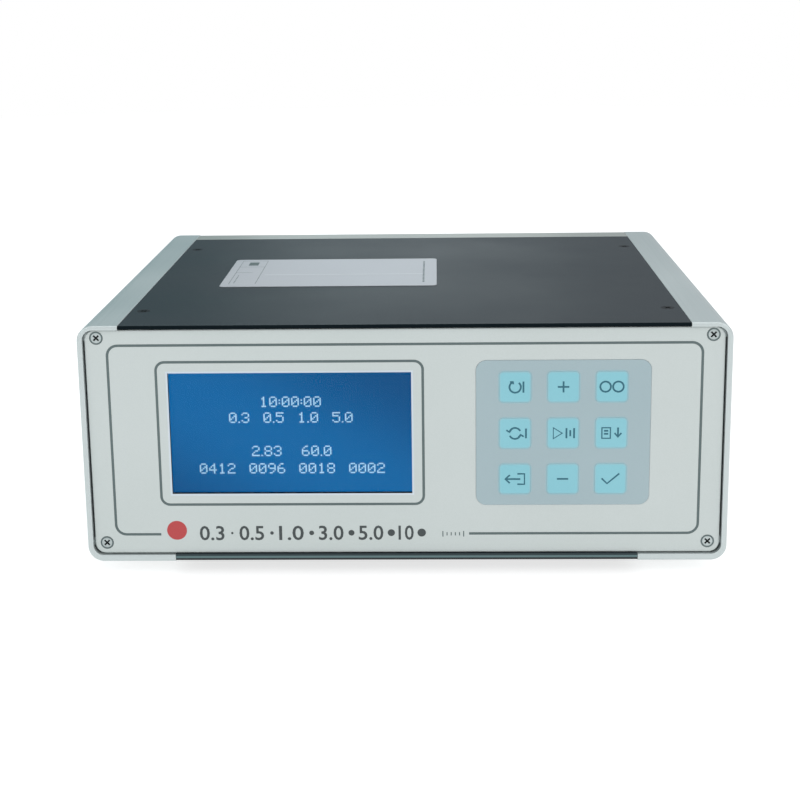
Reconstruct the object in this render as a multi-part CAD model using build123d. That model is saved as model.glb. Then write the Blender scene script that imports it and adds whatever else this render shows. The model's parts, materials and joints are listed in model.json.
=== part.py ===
from build123d import *
import os
from math import cos, radians, sin

# Bench-top airborne particle counter: two aluminium side rails hold a front panel,
# a rear panel, a flat top cover and a folded bottom cover. The optical sensor, the
# air path, the boards, the fan and the mains inlet are carried inside.
#
# Lengths are in millimetres. Every piece is drawn in the case's own coordinates:
# x across from the middle, y back from the rails' front ends, z up from the
# underside of the case. CASE_TO_PART then moves it to the part's frame, whose
# origin is the middle of the bounding box, on the surface the feet stand on.

# ---------------------------------------------------------------- the case
CASE_WIDTH = 370.0
CASE_HEIGHT = 141.0
CASE_DEPTH = 300.0
CORNER_RADIUS = 9.0

RAIL_WALL = 3.2
RAIL_BASE = 4.0
RAIL_ROOF = 4.6
RIM_TOP = 2.4
RIM_ROUND = 1.2
TOP_FLANGE = 23.5
LEDGE = 15.0
BOTTOM_FLANGE = 51.0
SHELF = 12.0
RIB = 2.0
RIB_SETBACK = 14.0

COVER_THICKNESS = 2.0
COVER_GAP = 0.2
BEND_RADIUS = 1.5
PANEL_THICKNESS = 3.0
PANEL_RECESS = 1.5
PANEL_GROOVE = 1.0
PANEL_CORNER = 6.0
PANEL_EDGE = 0.8
PANEL_LIFT = 0.7
REAR_SHEET = 2.0
REAR_RECESS = 0.5
REAR_FLANGE = 20.5

# ---------------------------------------------------------------- screws and feet
SCREW_RADIUS = 1.95
SCREW_HOLE = 2.0
CLEAR_HOLE = 2.2
SCREW_HEAD = 3.8
COUNTERSINK = 4.0
PAN_HEAD = 3.9
PAN_HEIGHT = 2.4
PAN_ROUND = 0.95
CROSS_LENGTH = 4.2
CROSS_WIDTH = 1.0
CROSS_DEPTH = 1.4
PANEL_SCREW_SIDE = 11.0
PANEL_SCREW_TOP = 7.2
PANEL_SCREW_BOTTOM = 11.2
PANEL_SCREW_LENGTH = 14.0
PORT_RADIUS = 4.4
PORT_SLOT = 1.6
COVER_SCREW_SIDE = 31.3
COVER_SCREW_FRONT = 38.5
COVER_SCREW_REAR = 62.0
COVER_SCREW_LENGTH = 8.0
BASE_SCREW_SIDE = 57.0
BASE_SCREW_END = 30.0
BASE_SCREW_LENGTH = 6.0

FOOT_HEIGHT = 8.0
FOOT_RADIUS = 11.0
FOOT_TAPER = 1.5
FOOT_COUNTERBORE = 4.6
FOOT_WEB = 3.6
FOOT_SIDE = 32.0
FOOT_END = 38.0
FOOT_SCREW_LENGTH = 10.0

# ---------------------------------------------------------------- front panel
LINE_WIDTH = 1.0
LINE_DEPTH = 0.3
BORDER_SIDE = 16.8
BORDER_TOP = 11.7
BORDER_BOTTOM = 16.2
BORDER_CORNER = 6.0
TITLE_GAP_LEFT = -142.1
TITLE_GAP_RIGHT = 36.7

DISPLAY_X = -65.1
DISPLAY_RISE = 4.15
VIEW_WIDTH = 138.8
VIEW_HEIGHT = 72.2
WINDOW_BORDER = 0.9
WINDOW_CHAMFER = 0.7
WINDOW_RECESS = 0.3
DISPLAY_LINE_MARGIN = 6.5
DISPLAY_LINE_CORNER = 5.0

DISPLAY_LIP = 0.8
DISPLAY_RIM = 3.5
DISPLAY_WALL = 1.2
GLASS_THICKNESS = 3.0
BACKLIGHT_THICKNESS = 2.2
BOARD_THICKNESS = 1.6
DISPLAY_BOARD_MARGIN = 10.0
STUD_RADIUS = 2.5
STUD_INSET = 3.2

KEYPAD_SIDE = 94.7
KEYPAD_RISE = 3.85
KEYPAD_WIDTH = 99.1
KEYPAD_HEIGHT = 86.0
KEYPAD_CORNER = 6.0
KEYPAD_POCKET = 1.7
KEYPAD_PROUD = 0.2
CIRCUIT_THICKNESS = 0.4
KEY_PITCH = 27.3
KEY_SIZE = 18.0
KEY_CORNER = 1.8
KEY_THICKNESS = 1.0
KEY_PROUD = 0.3
KEY_GAP = 0.15
KEY_EDGE = 0.25
KEY_ROWS = ("top", "middle", "bottom")
KEY_COLUMNS = ("left", "centre", "right")

# ---------------------------------------------------------------- top label
LABEL_X = -50.0
LABEL_REAR = 149.7
LABEL_WIDTH = 138.0
LABEL_DEPTH = 90.0
LABEL_CORNER = 3.0
LABEL_THICKNESS = 0.3

# ---------------------------------------------------------------- rear panel
INLET_SIDE = 50.0
INLET_Z = 70.0
INLET_BODY_WIDTH = 28.0
INLET_BODY_HEIGHT = 48.0
INLET_BODY_DEPTH = 28.0
INLET_FLANGE_WIDTH = 50.0
INLET_FLANGE_HEIGHT = 54.0
INLET_FLANGE = 3.0
INLET_CHAMFER = 1.0
INLET_SCREW_PITCH = 40.0
SOCKET_WIDTH = 24.4
SOCKET_HEIGHT = 16.4
SOCKET_DEPTH = 16.0
SOCKET_BEVEL = 4.5
SOCKET_DROP = 13.2
PIN_WIDTH = 2.0
PIN_HEIGHT = 4.0
PIN_PITCH = 7.0
PIN_OFFSET = 1.5
PIN_SETBACK = 2.5
TAB_LENGTH = 8.0
FUSE_WIDTH = 22.0
FUSE_HEIGHT = 8.0
FUSE_DEPTH = 20.0
FUSE_RISE = 1.6
FUSE_PROUD = 1.2
FUSE_RADIUS = 2.6
FUSE_LENGTH = 16.0
FUSE_GAP = 0.6
RIDGE_WIDTH = 13.2
RIDGE_HEIGHT = 2.8
ROCKER_WIDTH = 20.0
ROCKER_RADIUS = 6.4
ROCKER_RISE = 14.8
ROCKER_TILT = 10.0
ROCKER_GAP = 0.3
ROCKER_SETBACK = 1.4
MOVING_GAP = 0.3

FAN_X = -48.0
FAN_Z = 70.0
FAN_SIZE = 80.0
FAN_DEPTH = 25.0
FAN_CORNER = 4.0
FAN_BORE = 38.0
FAN_HOLE_OFFSET = 35.75
FAN_HUB = 16.0
FAN_TIP_GAP = 1.5
FAN_BLADES = 7
FAN_ROOT_LEAN = 32.0
FAN_TIP_LEAN = 56.0
FAN_BLADE_DEPTH = 15.0
FAN_CAMBER = 2.2
FAN_BLADE_THICKNESS = 1.6
FAN_HUB_ROUND = 1.5
FAN_STRUT = 4.0
FAN_STRUT_DEPTH = 3.0
FAN_END_GAP = 1.5
FAN_SPINDLE = 2.0
FAN_SCREW_LENGTH = 30.0
GRILLE_RINGS = 5
GRILLE_PITCH = 6.6
GRILLE_SLOT = 3.6
GRILLE_SPOKE = 5.0

VENT_DROP = 33.0
VENT_COUNT = 12
VENT_PITCH = 6.5
VENT_LENGTH = 26.0
VENT_WIDTH = 3.2
BASE_VENT_COUNT = 15
BASE_VENT_PITCH = 8.0
BASE_VENT_LENGTH = 34.0

SERIAL_X = 24.0
SERIAL_Z = 56.0
SERIAL_FLANGE_WIDTH = 31.0
SERIAL_FLANGE_HEIGHT = 12.5
SERIAL_FLANGE = 1.0
SERIAL_CORNER = 1.5
SERIAL_SHELL_WIDTH = 16.9
SERIAL_SHELL_HEIGHT = 8.3
SERIAL_SHELL_REACH = 5.8
SERIAL_SHELL_SLANT = 10.0
SERIAL_BODY_DEPTH = 10.0
SERIAL_SCREW_PITCH = 25.0
SERIAL_SCREW_RADIUS = 2.6
SERIAL_SCREW_REACH = 5.0
SERIAL_CONTACT_PITCH = 2.77
SERIAL_CONTACT_RADIUS = 0.55
SERIAL_CONTACT_DEPTH = 3.0

# ---------------------------------------------------------------- air path
FLOW_Z = 56.0
NIPPLE_RADIUS = 5.0
NIPPLE_BORE = 3.6
NIPPLE_REACH = 18.0
NIPPLE_GRIP = 12.0
NIPPLE_CHAMFER = 0.6
FITTING_FLANGE_RADIUS = 10.0
FITTING_FLANGE = 3.0
FITTING_THREAD = 6.0
FITTING_NUT = 9.0
FITTING_NUT_THICKNESS = 4.0
SAMPLE_SIDE = 35.0
EXHAUST_Z = 20.0
TUBE_RADIUS = 7.0
TUBE_CLEARANCE = 0.05
TUBE_OVERLAP = 10.0
TUBE_BEND = 20.0

SENSOR_SIDE = 100.0
SENSOR_Y = 78.0
SENSOR_LENGTH = 50.0
SENSOR_DEPTH = 60.0
SENSOR_HEIGHT = 52.0
SENSOR_CHAMBER = 9.0
DETECTOR_BORE = 7.0
SENSOR_NOZZLE = 12.0
SENSOR_EDGE = 2.0
LASER_RADIUS = 8.0
LASER_LENGTH = 34.0
LASER_SEAT = 12.0
TRAP_RADIUS = 9.0
TRAP_LENGTH = 16.0
TRAP_MOUTH = 6.0
TRAP_POINT = 1.0
DETECTOR_SIZE = 32.0
DETECTOR_HEIGHT = 14.0
PILLAR_RADIUS = 4.0
PILLAR_INSET = 8.0

FILTER_SIDE = 160.0
FILTER_RADIUS = 21.0
FILTER_LENGTH = 56.0
FILTER_SHOULDER = 6.0
FILTER_NIPPLE = 12.0
FILTER_BAND = 2.0
FILTER_BAND_DEPTH = 1.0
FILTER_BAND_INSET = 6.0
CRADLE_WIDTH = 30.0
CRADLE_DEPTH = 36.0

BLOWER_SIDE = 89.0
BLOWER_END = 78.0
BLOWER_WIDTH = 26.0
BLOWER_WALL = 2.5
VOLUTE_START = 34.0
VOLUTE_GROWTH = 8.0
OUTLET_LENGTH = 46.0
IMPELLER_RADIUS = 29.0
IMPELLER_DISC = 2.0
IMPELLER_BLADES = 11
IMPELLER_BLADE_HEIGHT = 12.0
IMPELLER_BLADE_THICKNESS = 1.2
IMPELLER_HUB = 7.0
IMPELLER_EYE = 12.0
IMPELLER_SWEEP = 35.0
IMPELLER_BULGE = 12.25
IMPELLER_RIM = 0.5
MOTOR_RADIUS = 18.0
MOTOR_LENGTH = 26.0
MOTOR_CHAMFER = 2.0
MOTOR_END = 4.0
SHAFT_RADIUS = 2.0
SHAFT_HOLE = 3.0
SHAFT_CLEARANCE = 0.05
SHAFT_LENGTH = 34.0
BRACKET_THICKNESS = 2.5
BRACKET_FOOT = 8.0
BRACKET_DEPTH = 28.8
BRACKET_RISE = 7.2

# ---------------------------------------------------------------- boards
STANDOFF_HEIGHT = 8.0
STANDOFF_RADIUS = 3.0
STANDOFF_INSET = 5.0
BOARD_GAP = 4.0
MAIN_BOARD_Y = 88.0
MAIN_BOARD_WIDTH = 120.0
MAIN_BOARD_DEPTH = 96.0
BOARD_SPACING = 16.0
POWER_BOARD_WIDTH = 88.0
POWER_BOARD_DEPTH = 100.0
RIBBON_WIDTH = 34.0
RIBBON_THICKNESS = 1.0
RIBBON_BEND = 5.0
HEADER_DEPTH = 6.0
HEADER_HEIGHT = 6.0
PROCESSOR_SIZE = 20.0
PROCESSOR_HEIGHT = 2.0
CHIP_COUNT = 4
CHIP_WIDTH = 16.0
CHIP_DEPTH = 8.0
CHIP_HEIGHT = 3.0
CHIP_PITCH = 24.0
CHIP_ROW = 26.0
RELAY_COUNT = 3
RELAY_WIDTH = 7.0
RELAY_DEPTH = 14.0
RELAY_HEIGHT = 10.0
RELAY_PITCH = 9.0
BATTERY_RADIUS = 10.0
BATTERY_HEIGHT = 4.0
PART_SPREAD = 36.0
TRANSFORMER_WIDTH = 34.0
TRANSFORMER_DEPTH = 28.0
TRANSFORMER_HEIGHT = 26.0
TRANSFORMER_CORNER = 3.0
CAPACITOR_COUNT = 3
CAPACITOR_RADIUS = 7.0
CAPACITOR_HEIGHT = 25.0
CAPACITOR_PITCH = 20.0
SINK_LENGTH = 70.0
SINK_HEIGHT = 30.0
SINK_THICKNESS = 6.0
FIN_COUNT = 6
FIN_LENGTH = 8.0
FIN_THICKNESS = 2.0
FIN_PITCH = 12.0
CHOKE_RADIUS = 9.0
CHOKE_HEIGHT = 12.0
POWER_PART_GAP = 3.0

# ---------------------------------------------------------------- worked-out places
HALF_WIDTH = CASE_WIDTH / 2
PANEL_HALF_WIDTH = HALF_WIDTH - RAIL_WALL - PANEL_GROOVE
PANEL_BOTTOM = RAIL_BASE + PANEL_LIFT
PANEL_TOP = CASE_HEIGHT - RIM_TOP - COVER_GAP
PANEL_FACE = PANEL_RECESS
PANEL_BACK = PANEL_FACE + PANEL_THICKNESS
REAR_FACE = CASE_DEPTH - REAR_RECESS
REAR_BACK = REAR_FACE - REAR_SHEET
COVER_HALF_WIDTH = HALF_WIDTH - TOP_FLANGE - COVER_GAP
COVER_UNDERSIDE = CASE_HEIGHT - COVER_THICKNESS
BASE_HALF_WIDTH = HALF_WIDTH - BOTTOM_FLANGE - COVER_GAP
FLOOR = COVER_THICKNESS
FLOOR_HALF_WIDTH = HALF_WIDTH - BOTTOM_FLANGE - SHELF
BORDER_MIDDLE = (BORDER_BOTTOM + CASE_HEIGHT - BORDER_TOP) / 2
DISPLAY_Z = BORDER_MIDDLE + DISPLAY_RISE
KEYPAD_X = HALF_WIDTH - KEYPAD_SIDE
KEYPAD_Z = BORDER_MIDDLE + KEYPAD_RISE
INLET_X = INLET_SIDE - HALF_WIDTH
SAMPLE_X = HALF_WIDTH - SAMPLE_SIDE
SENSOR_X = HALF_WIDTH - SENSOR_SIDE
FILTER_X = HALF_WIDTH - FILTER_SIDE
BLOWER_X = HALF_WIDTH - BLOWER_SIDE
BLOWER_Y = CASE_DEPTH - BLOWER_END
FILTER_Y = (SENSOR_Y + BLOWER_Y) / 2
MAIN_BOARD_X = MAIN_BOARD_WIDTH / 2 + BOARD_GAP - FLOOR_HALF_WIDTH
POWER_BOARD_X = POWER_BOARD_WIDTH / 2 + BOARD_GAP - FLOOR_HALF_WIDTH
POWER_BOARD_Y = MAIN_BOARD_Y + (MAIN_BOARD_DEPTH + POWER_BOARD_DEPTH) / 2 + BOARD_SPACING
BLOWER_FRONT = BLOWER_X - BLOWER_WIDTH / 2
BLOWER_BACK = BLOWER_X + BLOWER_WIDTH / 2
CASE_TO_PART = Pos(0, -(CASE_DEPTH + NIPPLE_REACH) / 2, FOOT_HEIGHT)


# ---------------------------------------------------------------- drawing helpers
def rect(x, z):
    """A rectangle given by its limits, each a (low, high) pair."""
    return Pos((x[0] + x[1]) / 2, (z[0] + z[1]) / 2) * Rectangle(x[1] - x[0], z[1] - z[0])


def round_rect(x, z, radius):
    """A rounded rectangle given by its limits."""
    middle = Pos((x[0] + x[1]) / 2, (z[0] + z[1]) / 2)
    return middle * RectangleRounded(x[1] - x[0], z[1] - z[0], radius)


def around(middle, size):
    """The (low, high) pair of a size about its middle."""
    return middle - size / 2, middle + size / 2


def row(count, pitch):
    """The offsets of a row of like things about its middle."""
    return [(index - (count - 1) / 2) * pitch for index in range(count)]


def polar(radius, turn):
    """A point at a radius, turned in degrees."""
    return radius * cos(radians(turn)), radius * sin(radians(turn))


def along_y(profile, start, end):
    """A profile in x and z, extruded from depth start back to depth end."""
    plane = Plane(origin=(0, end, 0), x_dir=(1, 0, 0), z_dir=(0, -1, 0))
    return extrude(plane * profile, amount=end - start)


def along_x(profile, start, end):
    """A profile in y and z, extruded from start across to end."""
    plane = Plane(origin=(start, 0, 0), x_dir=(0, 1, 0), z_dir=(1, 0, 0))
    return extrude(plane * profile, amount=end - start)


def along_z(profile, start, end):
    """A profile in x and y, extruded up from start to end."""
    return extrude(Pos(0, 0, start) * profile, amount=end - start)


def block(x, y, z):
    """A box given by its limits."""
    return along_z(rect(x, y), *z)


def rod_y(x, z, radius, start, end):
    return along_y(Pos(x, z) * Circle(radius), start, end)


def rod_x(y, z, radius, start, end):
    return along_x(Pos(y, z) * Circle(radius), start, end)


def rod_z(x, y, radius, start, end):
    return along_z(Pos(x, y) * Circle(radius), start, end)


def facing(point, direction):
    """The place of a piece drawn with its head up, turned so that it faces a direction."""
    return Plane(origin=point, z_dir=direction).location


def sides(distance):
    """The left and the right place at a distance in from the case's sides."""
    return -(HALF_WIDTH - distance), HALF_WIDTH - distance


# ---------------------------------------------------------------- fasteners
def cross_recess(top):
    """The driver's cross, cut down from the top of a head."""
    low = top - CROSS_DEPTH
    slot = along_z(Rectangle(CROSS_LENGTH, CROSS_WIDTH), low, top)
    return slot + Rot(0, 0, 90) * slot


def flat_screw(length):
    """Countersunk screw, its head's face at zero and its point below."""
    cone_height = SCREW_HEAD - SCREW_RADIUS
    cone = Pos(0, 0, -cone_height / 2) * Cone(SCREW_RADIUS, SCREW_HEAD, cone_height)
    body = cone + rod_z(0, 0, SCREW_RADIUS, -length, -cone_height)
    return body - Rot(0, 0, 45) * cross_recess(0)


def flat_hole(depth):
    """The hole that a countersunk screw sits in."""
    cone_height = COUNTERSINK - CLEAR_HOLE
    cone = Pos(0, 0, -cone_height / 2) * Cone(CLEAR_HOLE, COUNTERSINK, cone_height)
    return cone + rod_z(0, 0, CLEAR_HOLE, -depth, 0)


def pan_screw(length):
    """Pan-head screw, the underside of its head at zero and its point below."""
    body = rod_z(0, 0, SCREW_RADIUS, -length, 0) + rod_z(0, 0, PAN_HEAD, 0, PAN_HEIGHT)
    rim = body.faces().sort_by(Axis.Z)[-1].outer_wire().edges()
    return fillet(rim, PAN_ROUND) - cross_recess(PAN_HEIGHT)


def panel_screw_places():
    """The four corner screws of the front and rear panels, as x and z."""
    heights = (PANEL_SCREW_BOTTOM, CASE_HEIGHT - PANEL_SCREW_TOP)
    return [(x, z) for x in sides(PANEL_SCREW_SIDE) for z in heights]


def cover_screw_places():
    depths = (COVER_SCREW_FRONT, CASE_DEPTH - COVER_SCREW_REAR)
    return [(x, y) for x in sides(COVER_SCREW_SIDE) for y in depths]


def base_screw_places():
    depths = (BASE_SCREW_END, CASE_DEPTH / 2, CASE_DEPTH - BASE_SCREW_END)
    return [(x, y) for x in sides(BASE_SCREW_SIDE) for y in depths]


def foot_places():
    depths = (FOOT_END, CASE_DEPTH - FOOT_END)
    return [(x, y) for x in sides(FOOT_SIDE) for y in depths]


# ---------------------------------------------------------------- side rails
def screw_port(z, to_roof):
    """The open screw channel of the right-hand extrusion, and the webs that hold it."""
    x = HALF_WIDTH - PANEL_SCREW_SIDE
    wall = HALF_WIDTH - RAIL_WALL / 2
    surface = CASE_HEIGHT - RAIL_ROOF / 2 if to_roof else RAIL_BASE / 2
    reach = (z, surface) if to_roof else (surface, z)
    port = Pos(x, z) * Circle(PORT_RADIUS)
    port += rect((x, wall), around(z, PORT_RADIUS))
    port += rect(around(x, PORT_RADIUS), reach)
    slot = rect((x - 2 * PORT_RADIUS, x), around(z, PORT_SLOT))
    return port, Pos(x, z) * Circle(SCREW_HOLE) + slot


def rib_heights():
    """The heights of the two stiffening ribs inside a rail's wall."""
    step = (CASE_HEIGHT - RAIL_BASE - RAIL_ROOF) / 3
    return RAIL_BASE + step, RAIL_BASE + 2 * step


def rail_profile():
    """Section of the right-hand side extrusion, in x and z."""
    middle = CASE_HEIGHT / 2
    outside = Pos(0, middle) * RectangleRounded(CASE_WIDTH, CASE_HEIGHT, CORNER_RADIUS)
    cavity_limits = (RAIL_BASE, CASE_HEIGHT - RAIL_ROOF)
    inner_radius = CORNER_RADIUS - RAIL_WALL
    cavity = round_rect(around(0, CASE_WIDTH - 2 * RAIL_WALL), cavity_limits, inner_radius)
    cover_edge = HALF_WIDTH - TOP_FLANGE
    base_edge = HALF_WIDTH - BOTTOM_FLANGE
    kept = rect((cover_edge - LEDGE, HALF_WIDTH), (middle, CASE_HEIGHT))
    kept += rect((base_edge - SHELF, HALF_WIDTH), (0, middle))
    profile = (outside - cavity) & kept
    profile -= rect((cover_edge - LEDGE, cover_edge), (COVER_UNDERSIDE, CASE_HEIGHT))
    profile -= rect((base_edge - SHELF, base_edge), (0, COVER_THICKNESS))
    wall = HALF_WIDTH - RAIL_WALL
    for z in rib_heights():
        profile += rect((wall - RIB, wall + RAIL_WALL / 2), around(z, RIB))
    for z, to_roof in ((CASE_HEIGHT - PANEL_SCREW_TOP, True), (PANEL_SCREW_BOTTOM, False)):
        port, bore = screw_port(z, to_roof)
        profile = profile + port - bore
    return profile


def rounded_envelope():
    """The case's outside, its front and rear rims rounded over."""
    outline = Pos(0, CASE_HEIGHT / 2) * RectangleRounded(CASE_WIDTH, CASE_HEIGHT, CORNER_RADIUS)
    envelope = along_y(outline, 0, CASE_DEPTH)
    for end in (0, -1):
        envelope = fillet(envelope.faces().sort_by(Axis.Y)[end].edges(), RIM_ROUND)
    return envelope


def panel_pocket():
    """The mouth milled into each end of a rail, where a panel drops in."""
    inside = around(0, CASE_WIDTH - 2 * RAIL_WALL)
    height = (RAIL_BASE, CASE_HEIGHT - RIM_TOP)
    pocket = round_rect(inside, height, CORNER_RADIUS - RAIL_WALL)
    pocket += rect(around(0, CASE_WIDTH - 2 * TOP_FLANGE), (CASE_HEIGHT / 2, CASE_HEIGHT))
    pocket += rect(around(0, CASE_WIDTH - 2 * BOTTOM_FLANGE), (0, CASE_HEIGHT / 2))
    return pocket


def side_rail(side):
    """One side extrusion, with its milled ends and its screw holes."""
    rail = along_y(rail_profile(), 0, CASE_DEPTH)
    if side < 0:
        rail = mirror(rail, Plane.YZ)
    rail &= rounded_envelope()
    rail -= along_y(panel_pocket(), -1, PANEL_BACK)
    rail -= along_y(panel_pocket(), REAR_BACK, CASE_DEPTH + 1)
    bend_room = (REAR_BACK - BEND_RADIUS, CASE_DEPTH)
    rail -= block(
        around(0, CASE_WIDTH - 2 * TOP_FLANGE), bend_room, (CASE_HEIGHT - RAIL_ROOF, CASE_HEIGHT)
    )
    for z in rib_heights():
        inside = around(0, CASE_WIDTH - 2 * RAIL_WALL)
        for end in (PANEL_BACK, REAR_BACK):
            rail -= block(inside, around(end, 2 * RIB_SETBACK), around(z, 2 * RIB))
    for x, y in cover_screw_places():
        rail -= rod_z(x, y, SCREW_HOLE, CASE_HEIGHT - 2 * RAIL_ROOF, CASE_HEIGHT)
    for x, y in base_screw_places() + foot_places():
        rail -= rod_z(x, y, SCREW_HOLE, 0, RAIL_BASE)
    return rail


# ---------------------------------------------------------------- panels and covers
def top_cover():
    """Flat black sheet that lies in the rails' rabbets and oversails the front panel."""
    depth = (COVER_GAP, CASE_DEPTH - REAR_FLANGE - COVER_GAP)
    cover = block(around(0, 2 * COVER_HALF_WIDTH), depth, (COVER_UNDERSIDE, CASE_HEIGHT))
    rim = cover.faces().sort_by(Axis.Z)[-1].edges()
    cover = chamfer(rim, COVER_GAP)
    for x, y in cover_screw_places():
        cover -= facing((x, y, CASE_HEIGHT), (0, 0, 1)) * flat_hole(COVER_THICKNESS)
    return cover


def vent_slots(count, pitch, length, width):
    """A row of upright round-ended slots about the origin."""
    slots = Sketch()
    for step in row(count, pitch):
        slots += Pos(step, 0) * Rot(0, 0, 90) * SlotOverall(length, width)
    return slots


def bottom_cover():
    """Sheet floor, folded up at both ends into low lips, with vent slots under each board."""
    middle = COVER_THICKNESS / 2
    lip_top = PANEL_BOTTOM - COVER_GAP
    front = middle
    rear = CASE_DEPTH - middle
    fold = FilletPolyline(
        (front, lip_top), (front, middle), (rear, middle), (rear, lip_top), radius=BEND_RADIUS
    )
    section = trace(fold, line_width=COVER_THICKNESS)
    cover = along_x(section, -BASE_HALF_WIDTH, BASE_HALF_WIDTH)
    for x, y in base_screw_places():
        cover -= facing((x, y, 0), (0, 0, -1)) * flat_hole(COVER_THICKNESS)
    slots = vent_slots(BASE_VENT_COUNT, BASE_VENT_PITCH, BASE_VENT_LENGTH, VENT_WIDTH)
    for y in (MAIN_BOARD_Y, POWER_BOARD_Y):
        cover -= along_z(Pos(0, y) * slots, 0, COVER_THICKNESS)
    return cover


def panel_outline():
    width = around(0, 2 * PANEL_HALF_WIDTH)
    return round_rect(width, (PANEL_BOTTOM, PANEL_TOP), PANEL_CORNER)


def line_band(x, z, corner):
    """A printed line that runs round a rounded rectangle."""
    half = LINE_WIDTH / 2
    outer = round_rect((x[0] - half, x[1] + half), (z[0] - half, z[1] + half), corner + half)
    inner = round_rect((x[0] + half, x[1] - half), (z[0] + half, z[1] - half), corner - half)
    return outer - inner


def border_lines():
    """The front panel's inlaid lines: round its edge, open at the title, and round the display."""
    edge = HALF_WIDTH - BORDER_SIDE
    border = line_band((-edge, edge), (BORDER_BOTTOM, CASE_HEIGHT - BORDER_TOP), BORDER_CORNER)
    border -= rect((TITLE_GAP_LEFT, TITLE_GAP_RIGHT), around(BORDER_BOTTOM, 4 * LINE_WIDTH))
    width = VIEW_WIDTH + 2 * DISPLAY_LINE_MARGIN
    height = VIEW_HEIGHT + 2 * DISPLAY_LINE_MARGIN
    around_display = line_band(
        around(DISPLAY_X, width), around(DISPLAY_Z, height), DISPLAY_LINE_CORNER
    )
    return border, around_display


def display_outline(margin):
    """The display's viewing area, grown by a margin."""
    width = around(DISPLAY_X, VIEW_WIDTH + 2 * margin)
    height = around(DISPLAY_Z, VIEW_HEIGHT + 2 * margin)
    return rect(width, height)


def keypad_outline(gap):
    width = around(KEYPAD_X, KEYPAD_WIDTH - 2 * gap)
    height = around(KEYPAD_Z, KEYPAD_HEIGHT - 2 * gap)
    return round_rect(width, height, KEYPAD_CORNER - gap)


def key_places():
    """Each key's name and its middle, from the top left to the bottom right."""
    places = {}
    for row_name, down in zip(KEY_ROWS, row(len(KEY_ROWS), KEY_PITCH)):
        for column_name, across in zip(KEY_COLUMNS, row(len(KEY_COLUMNS), KEY_PITCH)):
            places[f"key_{row_name}_{column_name}"] = (KEYPAD_X + across, KEYPAD_Z - down)
    return places


def display_stud_places():
    """The studs at the corners of the display's board, as x and z."""
    inset = DISPLAY_BOARD_MARGIN - STUD_INSET
    across = VIEW_WIDTH / 2 + inset
    up = VIEW_HEIGHT / 2 + inset
    return [(DISPLAY_X + i * across, DISPLAY_Z + j * up) for i in (-1, 1) for j in (-1, 1)]


def front_panel():
    """Thick plate with a window, a keypad pocket, engraved lines and countersunk corners."""
    panel = along_y(panel_outline(), PANEL_FACE, PANEL_BACK)
    panel = fillet(panel.faces().sort_by(Axis.Y)[0].edges(), PANEL_EDGE)
    panel -= along_y(display_outline(WINDOW_BORDER), PANEL_FACE, PANEL_BACK)
    panel -= along_y(keypad_outline(0), PANEL_FACE, PANEL_FACE + KEYPAD_POCKET)
    for line in border_lines():
        panel -= along_y(line, PANEL_FACE, PANEL_FACE + LINE_DEPTH)
    for x, z in panel_screw_places():
        panel -= facing((x, PANEL_FACE, z), (0, -1, 0)) * flat_hole(PANEL_THICKNESS)
    for x, z in display_stud_places():
        panel += rod_y(x, z, STUD_RADIUS, PANEL_BACK, display_board_front())
    return panel


def rear_panel():
    """Folded sheet: an upright plate between the rails, and a flange that meets the top cover."""
    middle = REAR_SHEET / 2
    flange_front = CASE_DEPTH - REAR_FLANGE
    upright = REAR_FACE - middle
    fold = FilletPolyline(
        (flange_front, CASE_HEIGHT - middle),
        (upright, CASE_HEIGHT - middle),
        (upright, CASE_HEIGHT / 2),
        radius=BEND_RADIUS,
    )
    panel = along_x(trace(fold, line_width=REAR_SHEET), -COVER_HALF_WIDTH, COVER_HALF_WIDTH)
    panel += along_y(panel_outline(), REAR_BACK, REAR_FACE)
    for cut in (
        inlet_cutout(),
        fan_grille(),
        serial_cutout(),
        rear_vents(),
        Pos(SAMPLE_X, FLOW_Z) * Circle(FITTING_THREAD + COVER_GAP),
        Pos(BLOWER_X, EXHAUST_Z) * Circle(FITTING_THREAD + COVER_GAP),
    ):
        panel -= along_y(cut, REAR_BACK, REAR_FACE)
    for x, z in rear_device_screw_places() + panel_screw_places():
        panel -= rod_y(x, z, CLEAR_HOLE, REAR_BACK, REAR_FACE)
    return panel


def rear_vents():
    slots = vent_slots(VENT_COUNT, VENT_PITCH, VENT_LENGTH, VENT_WIDTH)
    return Pos(BLOWER_X, CASE_HEIGHT - VENT_DROP) * slots


def inlet_cutout():
    width = around(INLET_X, INLET_BODY_WIDTH + 2 * COVER_GAP)
    height = around(INLET_Z, INLET_BODY_HEIGHT + 2 * COVER_GAP)
    return rect(width, height)


def serial_cutout():
    width = around(SERIAL_X, SERIAL_SHELL_WIDTH + 4 * COVER_GAP)
    height = around(SERIAL_Z, SERIAL_SHELL_HEIGHT + 4 * COVER_GAP)
    return rect(width, height)


def fan_grille():
    """Rings of arc slots in the rear panel in front of the fan, left joined by four spokes."""
    slots = Sketch()
    for ring in range(1, GRILLE_RINGS + 1):
        radius = ring * GRILLE_PITCH
        slots += Circle(radius + GRILLE_SLOT / 2) - Circle(radius - GRILLE_SLOT / 2)
    span = 2 * (GRILLE_RINGS + 1) * GRILLE_PITCH
    for turn in (45, 135):
        slots -= Rot(0, 0, turn) * Rectangle(span, GRILLE_SPOKE)
    return Pos(FAN_X, FAN_Z) * slots


def fan_screw_places():
    offset = FAN_HOLE_OFFSET
    return [(FAN_X + i * offset, FAN_Z + j * offset) for i in (-1, 1) for j in (-1, 1)]


def inlet_screw_places():
    return [(x, INLET_Z) for x in around(INLET_X, INLET_SCREW_PITCH)]


def rear_device_screw_places():
    return fan_screw_places() + inlet_screw_places()


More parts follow.
